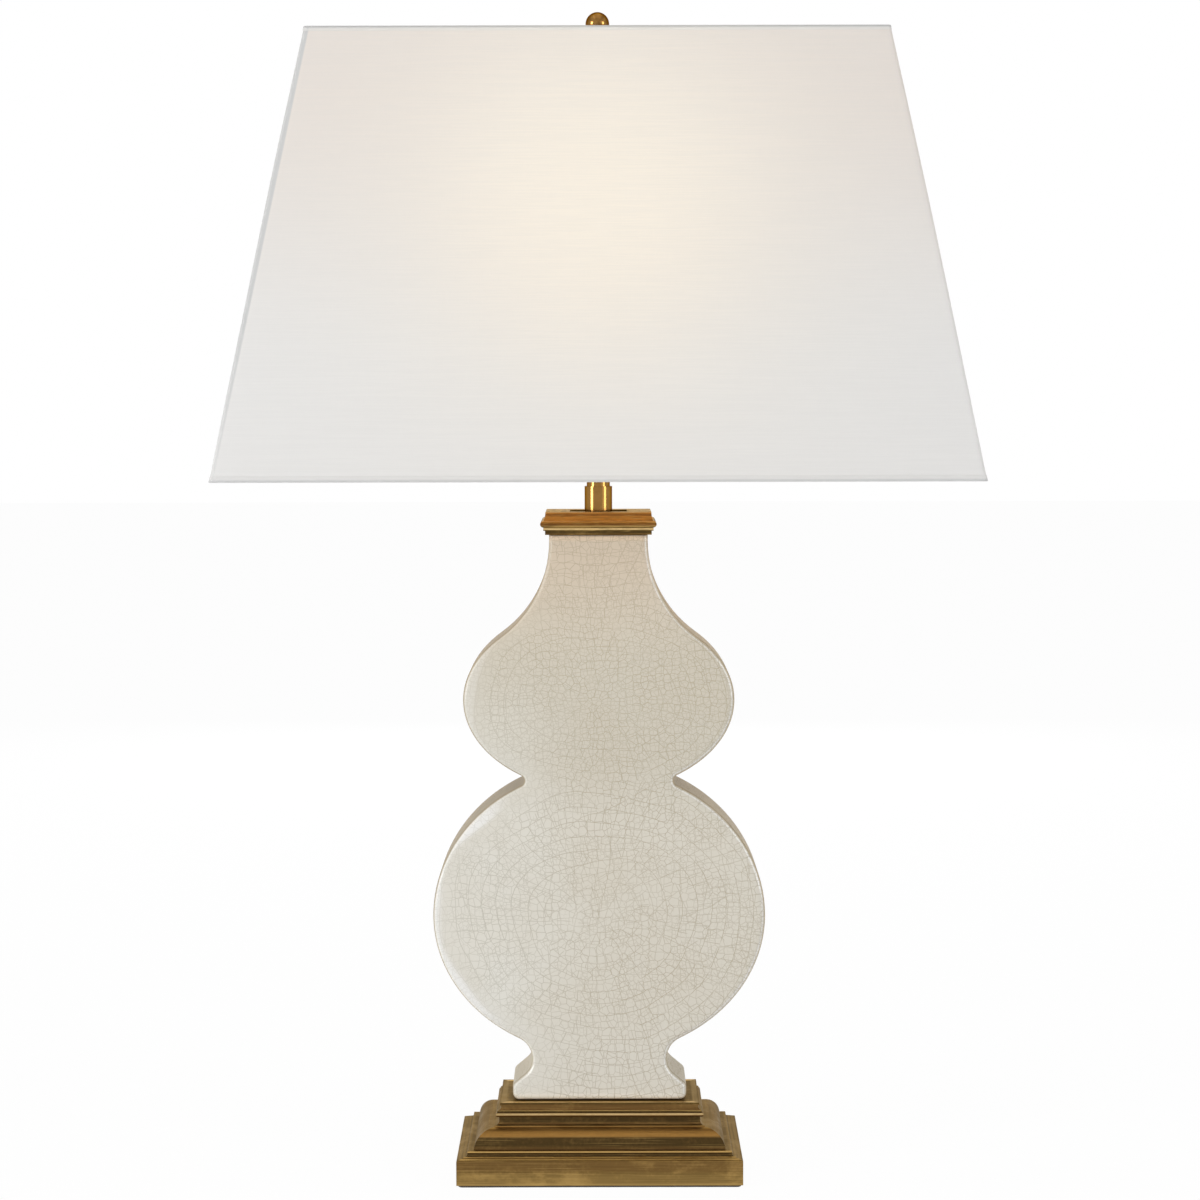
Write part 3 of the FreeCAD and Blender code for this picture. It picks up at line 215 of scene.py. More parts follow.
class Wire:
    """A node's output that takes part in Python expressions; comparisons give 1 or 0."""

    def __init__(self, shader, socket):
        self.shader = shader
        self.socket = socket

    def __abs__(self):
        return self.shader.math("ABSOLUTE", self)

    __add__ = between("ADD")
    __radd__ = between("ADD", True)
    __sub__ = between("SUBTRACT")
    __rsub__ = between("SUBTRACT", True)
    __mul__ = between("MULTIPLY")
    __rmul__ = between("MULTIPLY", True)
    __truediv__ = between("DIVIDE")
    __rtruediv__ = between("DIVIDE", True)
    __pow__ = between("POWER")
    __gt__ = between("GREATER_THAN")
    __lt__ = between("LESS_THAN")

    def smooth(self, low, high):
        """0 below low, 1 above high, and a soft step between."""
        return self.shader.node("ShaderNodeMapRange", {"interpolation_type": "SMOOTHSTEP"},
                                {"Value": self, "From Min": low, "From Max": high})


class Shader:
    """The nodes of a material, or of the world, under construction."""

    def __init__(self, name, kind="materials"):
        self.owner = getattr(bpy.data, kind).new(name)
        self.owner.use_nodes = True
        self.tree = self.owner.node_tree
        self.tree.nodes.clear()

    def node(self, kind, modes=None, inputs=None, output=0):
        """Add a node: first its modes, then the values or links of its sockets."""
        node = self.tree.nodes.new(kind)
        for name, value in (modes or {}).items():
            setattr(node, name, value)
        for key, value in (inputs or {}).items():
            if isinstance(value, Wire):
                self.tree.links.new(value.socket, node.inputs[key])
            elif value is not None:
                node.inputs[key].default_value = value
        return Wire(self, node.outputs[output]) if node.outputs else None

    def math(self, operation, *values):
        return self.node("ShaderNodeMath", {"operation": operation}, dict(enumerate(values)))

    def mix(self, first, second, share):
        """Blend two colours."""
        return self.node("ShaderNodeMix", {"data_type": "RGBA"},
                         {0: share, 6: colour(first), 7: colour(second)}, 2)

    def layers(self, ground, coats):
        """Lay coats of colour over a ground, each with its share."""
        for coat, share in coats:
            ground = self.mix(ground, coat, share)
        return ground

    def vector_math(self, operation, *values, output=0):
        return self.node("ShaderNodeVectorMath", {"operation": operation},
                         dict(enumerate(values)), output)

    def scaled(self, vector, factor):
        """A plain vector or colour times a wire."""
        return self.vector_math("SCALE", tuple(vector), None, None, factor)

    def vector(self, x, y, z):
        return self.node("ShaderNodeCombineXYZ", None, {0: x, 1: y, 2: z})

    def place(self):
        """Position on the piece, in metres in the model's frame."""
        return self.node("ShaderNodeTexCoord", output=3)

    def axes(self, wire):
        parts = self.node("ShaderNodeSeparateXYZ", None, {0: wire}).socket.node.outputs
        return [Wire(self, part) for part in parts]

    def facing(self):
        """Parts of the normal in the model's frame."""
        return self.axes(self.node("ShaderNodeTexCoord", output=1))

    def noise(self, vector, size, detail=2.0, roughness=0.5, output=0):
        """Clouds whose features have the given size in metres, from 0 to 1."""
        return self.node("ShaderNodeTexNoise", None, {
            "Vector": vector, "Scale": 1 / size, "Detail": detail,
            "Roughness": roughness}, output)

    def noises(self, vector, size, detail=1.0):
        """Three independent clouds of one size."""
        return self.axes(self.noise(vector, size, detail, output=1))

    def streaks(self, x, y, z, along, across, detail=2.0):
        """Noise stretched along both level axes, for threads and brushed lines."""
        return self.noise(self.vector(x / along, y / along, z / across), 1.0, detail)

    def bump(self, height, distance, strength=1.0, normal=None):
        """A normal for a height from 0 to 1 that stands for a depth in metres."""
        return self.node("ShaderNodeBump", None, {
            "Height": height, "Distance": distance, "Strength": strength, "Normal": normal})

    def seen_or_mirrored(self):
        """1 for rays that the camera, a mirror or a glass sends, and 0 for other light."""
        rays = self.node("ShaderNodeLightPath").socket.node.outputs
        white = 0.0
        for name in ("Is Camera Ray", "Is Glossy Ray", "Is Transmission Ray"):
            white = self.math("MAXIMUM", white, Wire(self, rays[name]))
        return white

    def surface(self, **sockets):
        """Finish the material with one Principled shader."""
        inputs = {}
        for name, value in sockets.items():
            words = name.replace("_", " ").title().replace("Ior", "IOR")
            is_colour = words.endswith(("Color", "Tint"))
            inputs[words] = colour(value) if is_colour else value
        shaded = self.node("ShaderNodeBsdfPrincipled", None, inputs)
        self.node("ShaderNodeOutputMaterial", None, {"Surface": shaded})
        return self.owner


def colour(value):
    """A linked colour as it is, and a plain one with its alpha."""
    return value if isinstance(value, Wire) else (*value[:3], 1.0)


def toned(tone, by):
    """A plain colour made darker or brighter."""
    return tuple(part * by for part in tone)


# Finishes

def crack_net(make, place, cell, width):
    """Cracks between cells of a size on flat glaze, and the place moved on cell by cell.

    The next net is drawn at the moved place, so that its cracks end at these.
    """
    cells = {"Vector": place, "Scale": 1 / cell, "Randomness": 0.65}
    edges = make.node("ShaderNodeTexVoronoi", {
        "feature": "DISTANCE_TO_EDGE", "voronoi_dimensions": "2D"}, cells)
    shade = make.node("ShaderNodeTexVoronoi", {"voronoi_dimensions": "2D"}, cells, 1)
    moved = make.vector_math("MULTIPLY_ADD", shade, (0.3, 0.3, 0.0), place)
    return 1 - (edges * cell).smooth(0.0, width), moved


def long_cracks(make, across, gap, width, share):
    """Curved cracks a gap apart, broken off where a cloud is thin."""
    away = make.math("PINGPONG", across, gap / 2)
    return (1 - away.smooth(0.0, width)) * share.smooth(0.44, 0.5)


def bulge_map(make, look, x, z, sways):
    """Way out from the middle of a bulge, 1 at its rim, with its length and bearing."""
    upper = z > look.waist_height
    middle, half_width, half_height = (
        below + (above - below) * upper for below, above in (
            (look.lower_centre, look.upper_centre),
            (look.lower_half_width, look.upper_half_width),
            (look.lower_half_height, look.upper_half_height)))
    sway = 20 * MM
    across = (x + sways[0] * sway) / half_width
    up = (z - middle + sways[1] * sway) / half_height
    outward = make.math("SQRT", across ** 2.0 + up ** 2.0)
    reach = outward * (half_width + half_height) * 0.5
    return outward, reach, make.math("ARCTAN2", across, up)


def gourd_cracks(make, look, place):
    """The cracks, 1 on a crack, and the way out from the middle of a bulge.

    Long curved cracks ring the middle of each bulge and cross it, short ones run from
    ring to ring, and nets of fine ones divide what is left. They are drawn on a sheet
    with the axes u and v, which is bent round from the flat faces to the narrow walls.
    """
    x, y, z = make.axes(place)
    nx, ny, nz = make.facing()
    elsewhere = make.vector_math("ADD", place, (0.3, 0.2, 0.1))
    wobble, sway, stagger, beyond = 0.9 * MM, 28 * MM, 0.371, 0.9
    sways = [cloud - 0.5 for cloud in make.noises(place, 70 * MM)]
    more_sways = [(cloud - 0.5) * sway for cloud in make.noises(elsewhere, 50 * MM)]
    wobbles = [cloud * wobble for cloud in make.noises(place, 4 * MM)]
    shares = make.noises(place, 14 * MM, 2.0)
    more_shares = make.noises(elsewhere, 14 * MM, 2.0)

    wall = abs(ny) < 0.7
    steep = abs(nx) > abs(nz)
    u = x * (1 - wall) + (z * steep + x * (1 - steep)) * wall + wobbles[0]
    v = z * (1 - wall) + (y + beyond) * wall + wobbles[1]
    outward, reach, bearing = bulge_map(make, look, x, z, sways)
    gap, width = look.long_gap, look.crack_width
    out = reach * (1 - wall) + v * wall + wobbles[2]
    ring = make.math("FLOOR", out / gap)
    turn = bearing * (ring + 0.5) * gap * (1 - wall) + u * wall + ring * stagger

    lines = long_cracks(make, out, gap, width, shares[0] * 0.7 + 0.2)
    lines = lines * (reach.smooth(20 * MM, 55 * MM) * 0.4 + 0.5)
    for across, spread, share, strength in (
            (turn + sways[2] * (12 * MM), 0.9, shares[1] * 0.7 + 0.2, 0.8),
            (u * 0.8 + v * 0.6 + more_sways[0], 1.5, shares[2], 0.55),
            (v * 0.87 - u * 0.5 + more_sways[1], 1.5, more_shares[0], 0.55),
            (u + v * 0.1 + more_sways[2], 1.7, more_shares[1], 0.7)):
        crack = long_cracks(make, across, gap * spread, width, share) * strength
        lines = make.math("MAXIMUM", lines, crack)

    # The nets are finer over the upper bulge and coarser at the foot.
    fine = z.smooth(0.25, 0.30) * z.smooth(0.40, 0.36)
    net = make.vector(u + sways[0] * (10 * MM), v + sways[1] * (10 * MM), 0.0)
    first, later = crack_net(make, net, look.large_cell, width)
    second, _ = crack_net(make, later, look.small_cell, width)
    first = first * (more_shares[2].smooth(0.35, 0.6) * 0.3 + 0.5)
    cuts = shares[1].smooth(0.4, 0.6) * z.smooth(0.07, 0.13) * 0.5
    second = second * (cuts * (1 - fine) + fine * 0.4)
    nets = make.math("MAXIMUM", first, second)
    return make.math("MAXIMUM", lines * (1 - fine * 0.2), nets), outward


def glaze_tones(make, look, place, outward):
    """Colour and gloss of the glaze, and the masks of the painted light from the bulb
    and of the painted light at the left.

    The glaze is painted lighter at the left and on the rounded edges, warmer towards
    the cap as painted light from the bulb, and darker over the upper bulge as painted
    shade. It is browner on the narrow walls and darkened there as painted shade, with
    painted dark outlines along the edges and painted light at the foot's lower edge
    and under the cap.
    """
    x, y, z = make.axes(place)
    nx, ny, _ = make.facing()
    flat = abs(ny)
    low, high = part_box("gourd_body")
    # Painted shade over the upper bulge, which the lamp's shade keeps from the light.
    shaded_upper = z.smooth(0.23, 0.3)
    above_foot = z.smooth(0.09, 0.12)
    # Painted light from the bulb, towards the cap.
    bulb_lit_neck = z.smooth(high.z - 0.1, high.z)
    # Painted light: the left side of the gourd is painted lighter and cooler.
    painted_left_light = x.smooth(0.01, -0.08) * z.smooth(0.42, 0.2)
    footwards = z.smooth(0.12, 0.08) * 0.2
    clouds = make.noise(place, 60 * MM, 3.0).smooth(0.4, 0.7)

    upper = z > look.waist_height
    # Painted highlight along the left edges of the bulges, weaker over the upper one.
    pool = outward.smooth(0.92, 0.965) * x.smooth(-0.06, -0.08)
    pool = pool * above_foot * (1 - upper * 0.75)
    # The band of the rounded edge that takes a painted glint on the right side.
    bend = flat.smooth(0.98, 0.94) * flat.smooth(0.8, 0.88)
    pool = make.math("MAXIMUM", pool, bend * nx.smooth(0.05, 0.2) * 0.7)
    # The rounded edges that face the left, which take a painted highlight.
    rounded = flat.smooth(0.985, 0.85) * nx.smooth(0.5, -0.2)

    # The narrow walls: browner glaze, darkened further as painted shade.
    on_wall = flat.smooth(0.82 - bulb_lit_neck * 0.25, 0.5 - bulb_lit_neck * 0.25)
    side = make.layers(look.foot_wall, [
        (look.wall, z.smooth(0.08, 0.2)),
        (look.neck_wall, z.smooth(high.z - 0.1, high.z - 0.02)),
        # Painted shade on the walls that face the left.
        (look.painted_edge_shade, nx.smooth(0.1, -0.1) * z.smooth(0.1, 0.2) * 0.6),
    ])
    # A band just inside the front edge, which takes a painted dark outline.
    line = y.smooth(low.y + 1.5 * MM, low.y + 2.2 * MM)
    line = line * y.smooth(low.y + 4.5 * MM, low.y + 3 * MM)
    glaze = make.layers(look.body, [
        # Painted shade over the upper bulge.
        (look.upper, shaded_upper),
        # Whiter glaze at the foot, and painted light at the left.
        (look.thick, make.math("MAXIMUM", painted_left_light * 0.85, footwards)),
        # Painted light from the bulb near the cap.
        (look.neck, bulb_lit_neck),
        (look.wall, clouds * 0.12),
        # Painted highlight and glint along the edges.
        (look.pool, pool),
        # Painted highlight on the left edges, weaker over the upper bulge, then painted light
        # over the shade at the foot's lower edge.
        (look.painted_rim_highlight, rounded * (0.45 - shaded_upper * 0.25)),
        (look.painted_rim_highlight, z.smooth(low.z + 6 * MM, low.z + 1 * MM) * 0.8),
        # Painted light under the cap, over its shadow.
        (look.lip, z.smooth(high.z - 5 * MM, high.z - 0.5 * MM) * 0.8),
        # Browner walls, darkened further as painted shade.
        (side, on_wall),
        # Painted dark outlines along the back edge and just inside the front edge.
        (look.painted_edge_shade, y.smooth(high.y - 3 * MM, high.y - 1 * MM) * 0.5),
        (look.painted_edge_shade, line * 0.5),
    ])
    rounding = flat.smooth(0.97, 0.87) * nx.smooth(0.1, -0.1) * above_foot
    gloss = (1 - rounding * 0.75) * (1 - on_wall) + on_wall * 0.2
    return glaze, gloss, bulb_lit_neck, painted_left_light


def crackle_glaze():
    """Glossy off-white glaze with stained cracks, which fade under the painted highlight at the
    left edges.
    """
    look = settings("glaze")
    make = Shader("crackle_glaze")
    place = make.place()
    lines, outward = gourd_cracks(make, look, place)
    glaze, gloss, bulb_lit_neck, painted_left_light = glaze_tones(make, look, place, outward)
    # The stain turns greyer under the painted light at the left.
    stain = make.mix(look.crack, look.left_lit_crack, painted_left_light)
    # The cracks fade out under the painted highlight along the left edges of the bulges.
    highlight_washout = outward.smooth(0.78, 0.95) * make.axes(place)[0].smooth(-0.02, -0.05)
    strength = (0.75 - bulb_lit_neck * 0.2 - painted_left_light * 0.12) * (1 - highlight_washout * 0.5)
    stained = make.mix(glaze, stain, lines * strength)
    ripple = make.noise(place, 30 * MM, 1.0)
    soft_rim = make.node("ShaderNodeBevel", {"samples": 8}, {"Radius": look.soft_rim})
    waves = make.bump(ripple, 1.2 * MM, 0.35, soft_rim)
    normal = make.bump(1 - lines, 0.1 * MM, 0.3, waves)
    return make.surface(base_color=stained, roughness=0.5 + lines * 0.1, normal=normal,
                        specular_ior_level=0.0, coat_weight=gloss, coat_roughness=0.12,
                        coat_ior=1.6)


def moulding_depth(make, x, y, node):
    """Setback of a point from a moulding's outer faces, in metres, and 1 on its flanks."""
    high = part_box(node)[1]
    from_side, from_front = high.x - abs(x), high.y - abs(y)
    flank = (from_front - from_side).smooth(-0.2 * MM, 0.2 * MM)
    return make.math("MINIMUM", from_side, from_front), flank


def ridge(make, setback, z, at_setback, at_height, reach):
    """1 on a ridge of the profile, fading over a distance."""
    away = make.math("SQRT", (setback - at_setback) ** 2.0 + (z - at_height) ** 2.0)
    return 1 - away.smooth(reach * 0.5, reach)


def base_marks(look):
    """Bright and dark bands along the base's mouldings.

    Each has a setback, a level, a height over it, a reach, a colour and a strength. The
    setback, the height and the reach are in millimetres.
    """
    plinth, tier, top = (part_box(name)[1].z for name in
                         ("base_plinth", "base_moulding", "base_top_tier"))
    return [
        (0.0, plinth, -1.0, 9.0, look.brown, 0.52),
        (0.0, 0.0, 2.5, 9.0, look.worn, 0.16),
        (0.0, 0.0, 1.8, 1.6, look.worn, 0.3),
        (15.0, plinth, 9.0, 14.0, look.brown, 0.85),
        (28.0, tier, 7.0, 12.0, look.brown, 0.85),
        (12.0, plinth, 6.4, 3.6, look.dark, 0.5),
        (12.8, plinth, 10.2, 4.4, look.dark, 1.0),
        (17.0, plinth, 14.9, 3.7, look.gold, 1.0),
        (22.6, tier, 0.0, 3.8, look.gold, 1.0),
        (24.0, tier, 0.3, 3.2, look.worn, 0.45),
        (26.0, tier, 1.2, 1.3, look.worn, 0.6),
        (28.2, tier, 4.5, 3.0, look.dark, 1.0),
        (6.2, plinth, 2.7, 1.6, look.dark, 1.0),
        (2.2, plinth, 0.8, 1.4, look.worn, 1.0),
        (4.9, plinth, 1.8, 1.3, look.worn, 1.0),
        (7.7, plinth, 5.2, 1.8, look.worn, 0.85),
        # Painted highlight on the tier's bead.
        (26.3, tier, 8.4, 0.9, look.bright, 0.5),
        (27.4, tier, 9.9, 1.3, look.dark, 1.0),
        (27.6, tier, 11.4, 1.1, look.worn, 1.0),
        (28.7, tier, 12.7, 1.1, look.dark, 0.9),
        (29.1, top, -0.6, 0.9, look.dark, 0.7),
        # Painted light on the tier's top face, over the shadow of the gourd's foot.
        (31.6, top, 0.0, 2.4, look.bright, 1.0),
    ]


def cap_marks(look):
    """The same for the cap, whose upper half has turned orange."""
    low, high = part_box("cap_moulding")
    return [
        (3.0, high.z, -2.0, 7.5, look.orange, 1.0),
        (3.2, high.z, -1.5, 1.1, look.russet, 0.8),
        (0.4, low.z, 7.2, 1.2, look.russet, 0.8),
        (0.8, low.z, 5.2, 1.8, look.worn, 0.8),
        # Painted highlight on the cap's bead.
        (1.6, low.z, 4.0, 0.9, look.bright, 0.95),
        (3.2, low.z, 2.1, 1.5, look.dark, 0.75),
        (3.3, low.z, 0.4, 0.8, look.brown, 0.5),
        # Painted light on the cap's top face.
        (5.8, high.z, 0.0, 2.4, look.bright, 0.75),
    ]


def antique_brass(name, outline, marks, streak, contrast, top_highlight=0.0):
    """Patinated brass: cloudy and brown, lighter where it has been rubbed, with painted
    highlights.

    Drawn lines of about the length of a streak run along it with a contrast, and the
    upward faces get painted light by a share.
    """
    look = settings("brass")
    make = Shader(name)
    place = make.place()
    x, y, z = make.axes(place)
    nx, ny, nz = make.facing()
    setback, flank = moulding_depth(make, x, y, outline)
    clouds = make.noise(make.vector(x / 2, y / 2, z), look.blotch, 4.0, 0.6)
    specks = make.noise(place, 2.5 * MM, 3.0, 0.6)
    line = 0.6 * MM
    along_x = make.streaks(x / 30, y, z, line, line)
    along_y = make.streaks(x, y / 30, z, line, line)
    sideways = abs(nx) > abs(ny)
    grain = along_x * (1 - sideways) + along_y * sideways
    dull = (clouds * 0.75 + specks * 0.25).smooth(0.36, 0.56)
    drawn = make.streaks(x, y, z + setback * 0.25, streak, 0.8 * MM, 3.0)
    wear = (specks * 0.6 + clouds * 0.4).smooth(0.3, 0.6) * 0.3 + 0.7
    wear = wear * (1 - flank * 0.6)
    coats = [
        (look.dark, dull * 0.5),
        (look.worn, clouds.smooth(0.5, 0.3) * 0.3),
    ]
    for back, level, above, reach, tone, strength in marks(look):
        near = ridge(make, setback, z, back * MM, level + above * MM, reach * MM)
        coats.append((tone, near * wear * strength))
    coats += [
        (look.grey, flank * 0.45),
        # Painted light on the upward faces.
        (look.bright, nz.smooth(0.8, 0.95) * top_highlight),
        (look.dark, drawn.smooth(0.5, 0.68) * contrast),
        (look.worn, drawn.smooth(0.44, 0.3) * contrast),
    ]
    normal = make.bump(grain * 0.6 + specks * 0.4, 0.06 * MM, 0.5)
    return make.surface(base_color=make.layers(look.antique, coats), metallic=1.0,
                        normal=normal, specular_tint=look.edge,
                        roughness=0.28 + dull * 0.14 + grain * 0.1)


def satin_brass(name="satin_brass", spots=0.15):
    """Polished brass with faint turning lines and tarnish, for turned and drawn pieces."""
    look = settings("brass")
    make = Shader(name)
    place = make.place()
    x, y, z = make.axes(place)
    rings = make.streaks(x, y, z, 20 * MM, 0.4 * MM)
    clouds = make.noise(place, 6 * MM, 3.0)
    brass = make.mix(look.satin, look.satin_dark, clouds.smooth(0.35, 0.6) * spots)
    normal = make.bump(rings, 0.03 * MM, 0.5)
    return make.surface(base_color=brass, metallic=1.0, normal=normal,
                        specular_tint=look.satin_edge, roughness=0.10 + rings * 0.08)


def grained(make, shade, dullness, blotch, detail, grain):
    """A shade with duller blotches, and the grain of its surface."""
    place = make.place()
    blotches = make.noise(place, blotch, detail).smooth(0.35, 0.7)
    tone = make.mix(shade, toned(shade, dullness), blotches)
    return tone, make.noise(place, grain, 3.0)


def plain_metal(name, shade, roughness, grain=1.2 * MM, depth=0.08 * MM):
    """Plated or painted metal with a fine uneven surface."""
    make = Shader(name)
    tone, fine = grained(make, shade, 0.8, 10 * MM, 3.0, grain)
    return make.surface(base_color=tone, metallic=1.0, normal=make.bump(fine, depth, 0.5),
                        roughness=roughness + fine * 0.15)


def moulded_finish(name, shade, roughness, grain=0.8 * MM, depth=0.05 * MM):
    """Paint, rubber, paper or moulded plastic with a fine texture."""
    make = Shader(name)
    tone, fine = grained(make, shade, 0.85, 20 * MM, 2.0, grain)
    return make.surface(base_color=tone, normal=make.bump(fine, depth, 0.6),
                        roughness=roughness + fine * 0.1)


def lamplight(make, place):
    """Light of the bulb at a place: 1 on the cloth in front of it, less with distance."""
    look = settings("cloth")
    narrowing, brightest = 0.815, 1.6
    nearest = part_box("shade_cover")[1].y * narrowing
    gap = make.vector_math("DISTANCE", place, (0.0, 0.0, look.glow_height), output=1)
    return make.math("MINIMUM", (nearest / gap) ** 3.0, brightest)


def linen(name, tint=1.0, edge=None):
    """Plain linen with slubbed level threads, lit from behind by the bulb.

    The cloth is doubled at the corners, painted darker there as shade, mostly at the left,
    and in a trim along the edge at that height, which gets painted shade lines. The cloth
    is painted warmer towards the top by the bulb's light.
    """
    look = settings("cloth")
    make = Shader(name)
    place = make.place()
    x, y, z = make.axes(place)
    nx, ny, nz = make.facing()
    sideways = abs(nx) > abs(ny)
    along = x * (1 - sideways) + y * sideways
    weft = make.streaks(x, y, z, 14 * MM, look.thread, 3.0)
    warp = make.streaks(along, 0.0, z / 30, look.thread, look.thread, 2.0)
    slub = make.streaks(x, y, z, 50 * MM, 0.9 * MM, 2.0)
    threads = weft * 0.5 + warp * 0.25 + slub.smooth(0.35, 0.75) * 0.25
    light = lamplight(make, place)
    form = ShadeForm()
    up = (z - form.bottom) / (form.top - form.bottom)
    from_side = form.half(z, 0) - abs(x)
    # The doubled cloth at the corners, painted darker as shade mostly at the left.
    seam_and_shade = (from_side - up * MM).smooth(3.2 * MM, 2.0 * MM)
    seam_and_shade = seam_and_shade * abs(ny).smooth(0.2, 0.5) * up.smooth(-0.2, 0.4)
    coats = [
        # Painted light from the bulb, warmer towards the top.
        (look.lamp_warmed_linen, z.smooth(0.55, 0.75)),
        (look.lit_linen, light.smooth(0.05, 0.9)),
        (toned(look.linen, 0.86 * tint), threads.smooth(0.62, 0.3) * 0.13),
        # Painted shade on the doubled corner, almost only at the left.
        (look.fold_and_shade, seam_and_shade * (1 - x.smooth(-0.05, 0.05) * 0.95)),
    ]
    if edge is not None:
        upright = abs(nz).smooth(0.9, 0.6)
        away = abs(z - edge)
        shadow = upright * (0.9 if edge > look.glow_height else 0.2)
        coats += [
            (toned(look.linen, tint), 0.7),
            # Painted shade lines along the trim's edge, strongest at the top.
            (look.fold_and_shade, away.smooth(1.9 * MM, 0.8 * MM) * upright * 0.8),
            (toned(look.fold_and_shade, 0.8), away.smooth(1.0 * MM, 0.5 * MM) * shadow),
        ]
    return make.surface(base_color=make.layers(look.linen, coats), roughness=0.85,
                        normal=make.bump(threads, 0.2 * MM, 0.3), sheen_weight=0.15,
                        sheen_roughness=0.5, emission_strength=1.0, specular_ior_level=0.2,
                        emission_color=make.scaled(look.glow, light * (threads * 0.3 + 0.85)))


def styrene():
    """Smooth white liner, glowing round the bulb."""
    look = settings("cloth")
    make = Shader("styrene")
    place = make.place()
    light = lamplight(make, place)
    fine = make.noise(place, 2 * MM, 2.0)
    tone = make.mix((0.86, 0.84, 0.80), (0.90, 0.84, 0.73), light.smooth(0.1, 1.1))
    return make.surface(base_color=tone, roughness=0.45 + fine * 0.1,
                        emission_color=make.scaled(toned(look.glow, 2.2), light),
                        emission_strength=1.0, normal=make.bump(fine, 0.05 * MM, 0.4))


def frosted_glass():
    """Etched white glass, brightest round its middle."""
    make = Shader("frosted_glass")
    place = make.place()
    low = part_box("bulb_glass")[0]
    fine = make.noise(place, 0.6 * MM, 2.0)
    lit = make.axes(place)[2].smooth(low.z, low.z + 30 * MM)
    tone = make.mix((0.50, 0.47, 0.41), (0.60, 0.58, 0.53), lit)
    shine = make.mix((0.10, 0.07, 0.03), (0.36, 0.27, 0.13), lit)
    return make.surface(base_color=tone, roughness=0.42 + fine * 0.1, emission_color=shine,
                        emission_strength=1.0, normal=make.bump(fine, 0.03 * MM, 0.4))


def felt_nap():
    """Dark felt with a short nap."""
    look = settings("cloth")
    make = Shader("felt")
    place = make.place()
    nap = make.noise(place, 0.6 * MM, 4.0, 0.7)
    clouds = make.noise(place, 6 * MM, 3.0)
    worn = (nap * 0.7 + clouds * 0.3).smooth(0.35, 0.7)
    tone = make.mix(look.felt, toned(look.felt, 1.7), worn)
    return make.surface(base_color=tone, roughness=0.95, sheen_weight=0.4, sheen_roughness=0.6,
                        specular_ior_level=0.1, normal=make.bump(nap, 0.4 * MM, 0.7))


def dress(material, *names):
    """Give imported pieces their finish."""
    for name in names:
        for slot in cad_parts[name].material_slots:
            slot.material = material


# Mesh building

def stand(name, data):
    """Put a mesh, a lamp or a camera into the scene."""
    thing = bpy.data.objects.new(name, data)
    bpy.context.scene.collection.objects.link(thing)
    return thing


def solid(name, form, material):
    """Put a finished form into the scene with its material."""
    mesh = bpy.data.meshes.new(name)
    form.to_mesh(mesh)
    form.free()
    mesh.materials.append(material)
    return stand(name, mesh)


def skin(name, rings, material, sharp, closed=True):
    """A mesh of quads over rings of points, the last joined to the first if closed.

    It is shaded smooth apart from the edges that are sharper than an angle in degrees.
    """
    form = bmesh.new()
    rows = [[form.verts.new(point) for point in ring] for ring in rings]
    pairs = list(zip(rows, rows[1:] + rows[:1]))
    for here, there in pairs if closed else pairs[:-1]:
        for step in range(len(here)):
            after = (step + 1) % len(here)
            form.faces.new((here[step], here[after], there[after], there[step]))
    if not closed:
        form.faces.new(rows[0][::-1])
        form.faces.new(rows[-1])
    bmesh.ops.recalc_face_normals(form, faces=form.faces)
    form.normal_update()
    for face in form.faces:
        face.smooth = True
    for edge in form.edges:
        edge.smooth = edge.calc_face_angle() <= math.radians(sharp)
    return solid(name, form, material)


def corner_arcs(half_x, half_y, radius, z, steps):
    """Points round the four corners of a level rectangle, one list for each corner."""
    arcs = []
    for x_sign, y_sign, start in ((1, -1, -0.25), (1, 1, 0.0), (-1, 1, 0.25), (-1, -1, 0.5)):
        arc = []
        for step in range(steps + 1):
            angle = TURN * (start + 0.25 * step / steps)
            arc.append(Vector((x_sign * (half_x - radius) + radius * math.cos(angle),
                               y_sign * (half_y - radius) + radius * math.sin(angle), z)))
        arcs.append(arc)
    return arcs


def turned(profile, around):
    """Rings of a turned piece from its radii and heights."""
    turns = [TURN * step / around for step in range(around)]
    return [[(radius * math.cos(turn), radius * math.sin(turn), z) for turn in turns]
            for radius, z in profile]


def threaded(radius, depth, pitch, low, high, around, rows):
    """Rings of a round thread that runs out at both ends."""
    rings = []
    for row in range(rows + 1):
        z = low + (high - low) * row / rows
        fade = min(1.0, (z - low) / pitch, (high - z) / pitch)
        ring = []
        for step in range(around):
            turn = TURN * step / around
            groove = 0.5 - 0.5 * math.cos(TURN * (z - low) / pitch - turn)
            r = radius - depth * fade * groove
            ring.append((r * math.cos(turn), r * math.sin(turn), z))
        rings.append(ring)
    return rings


# Pieces

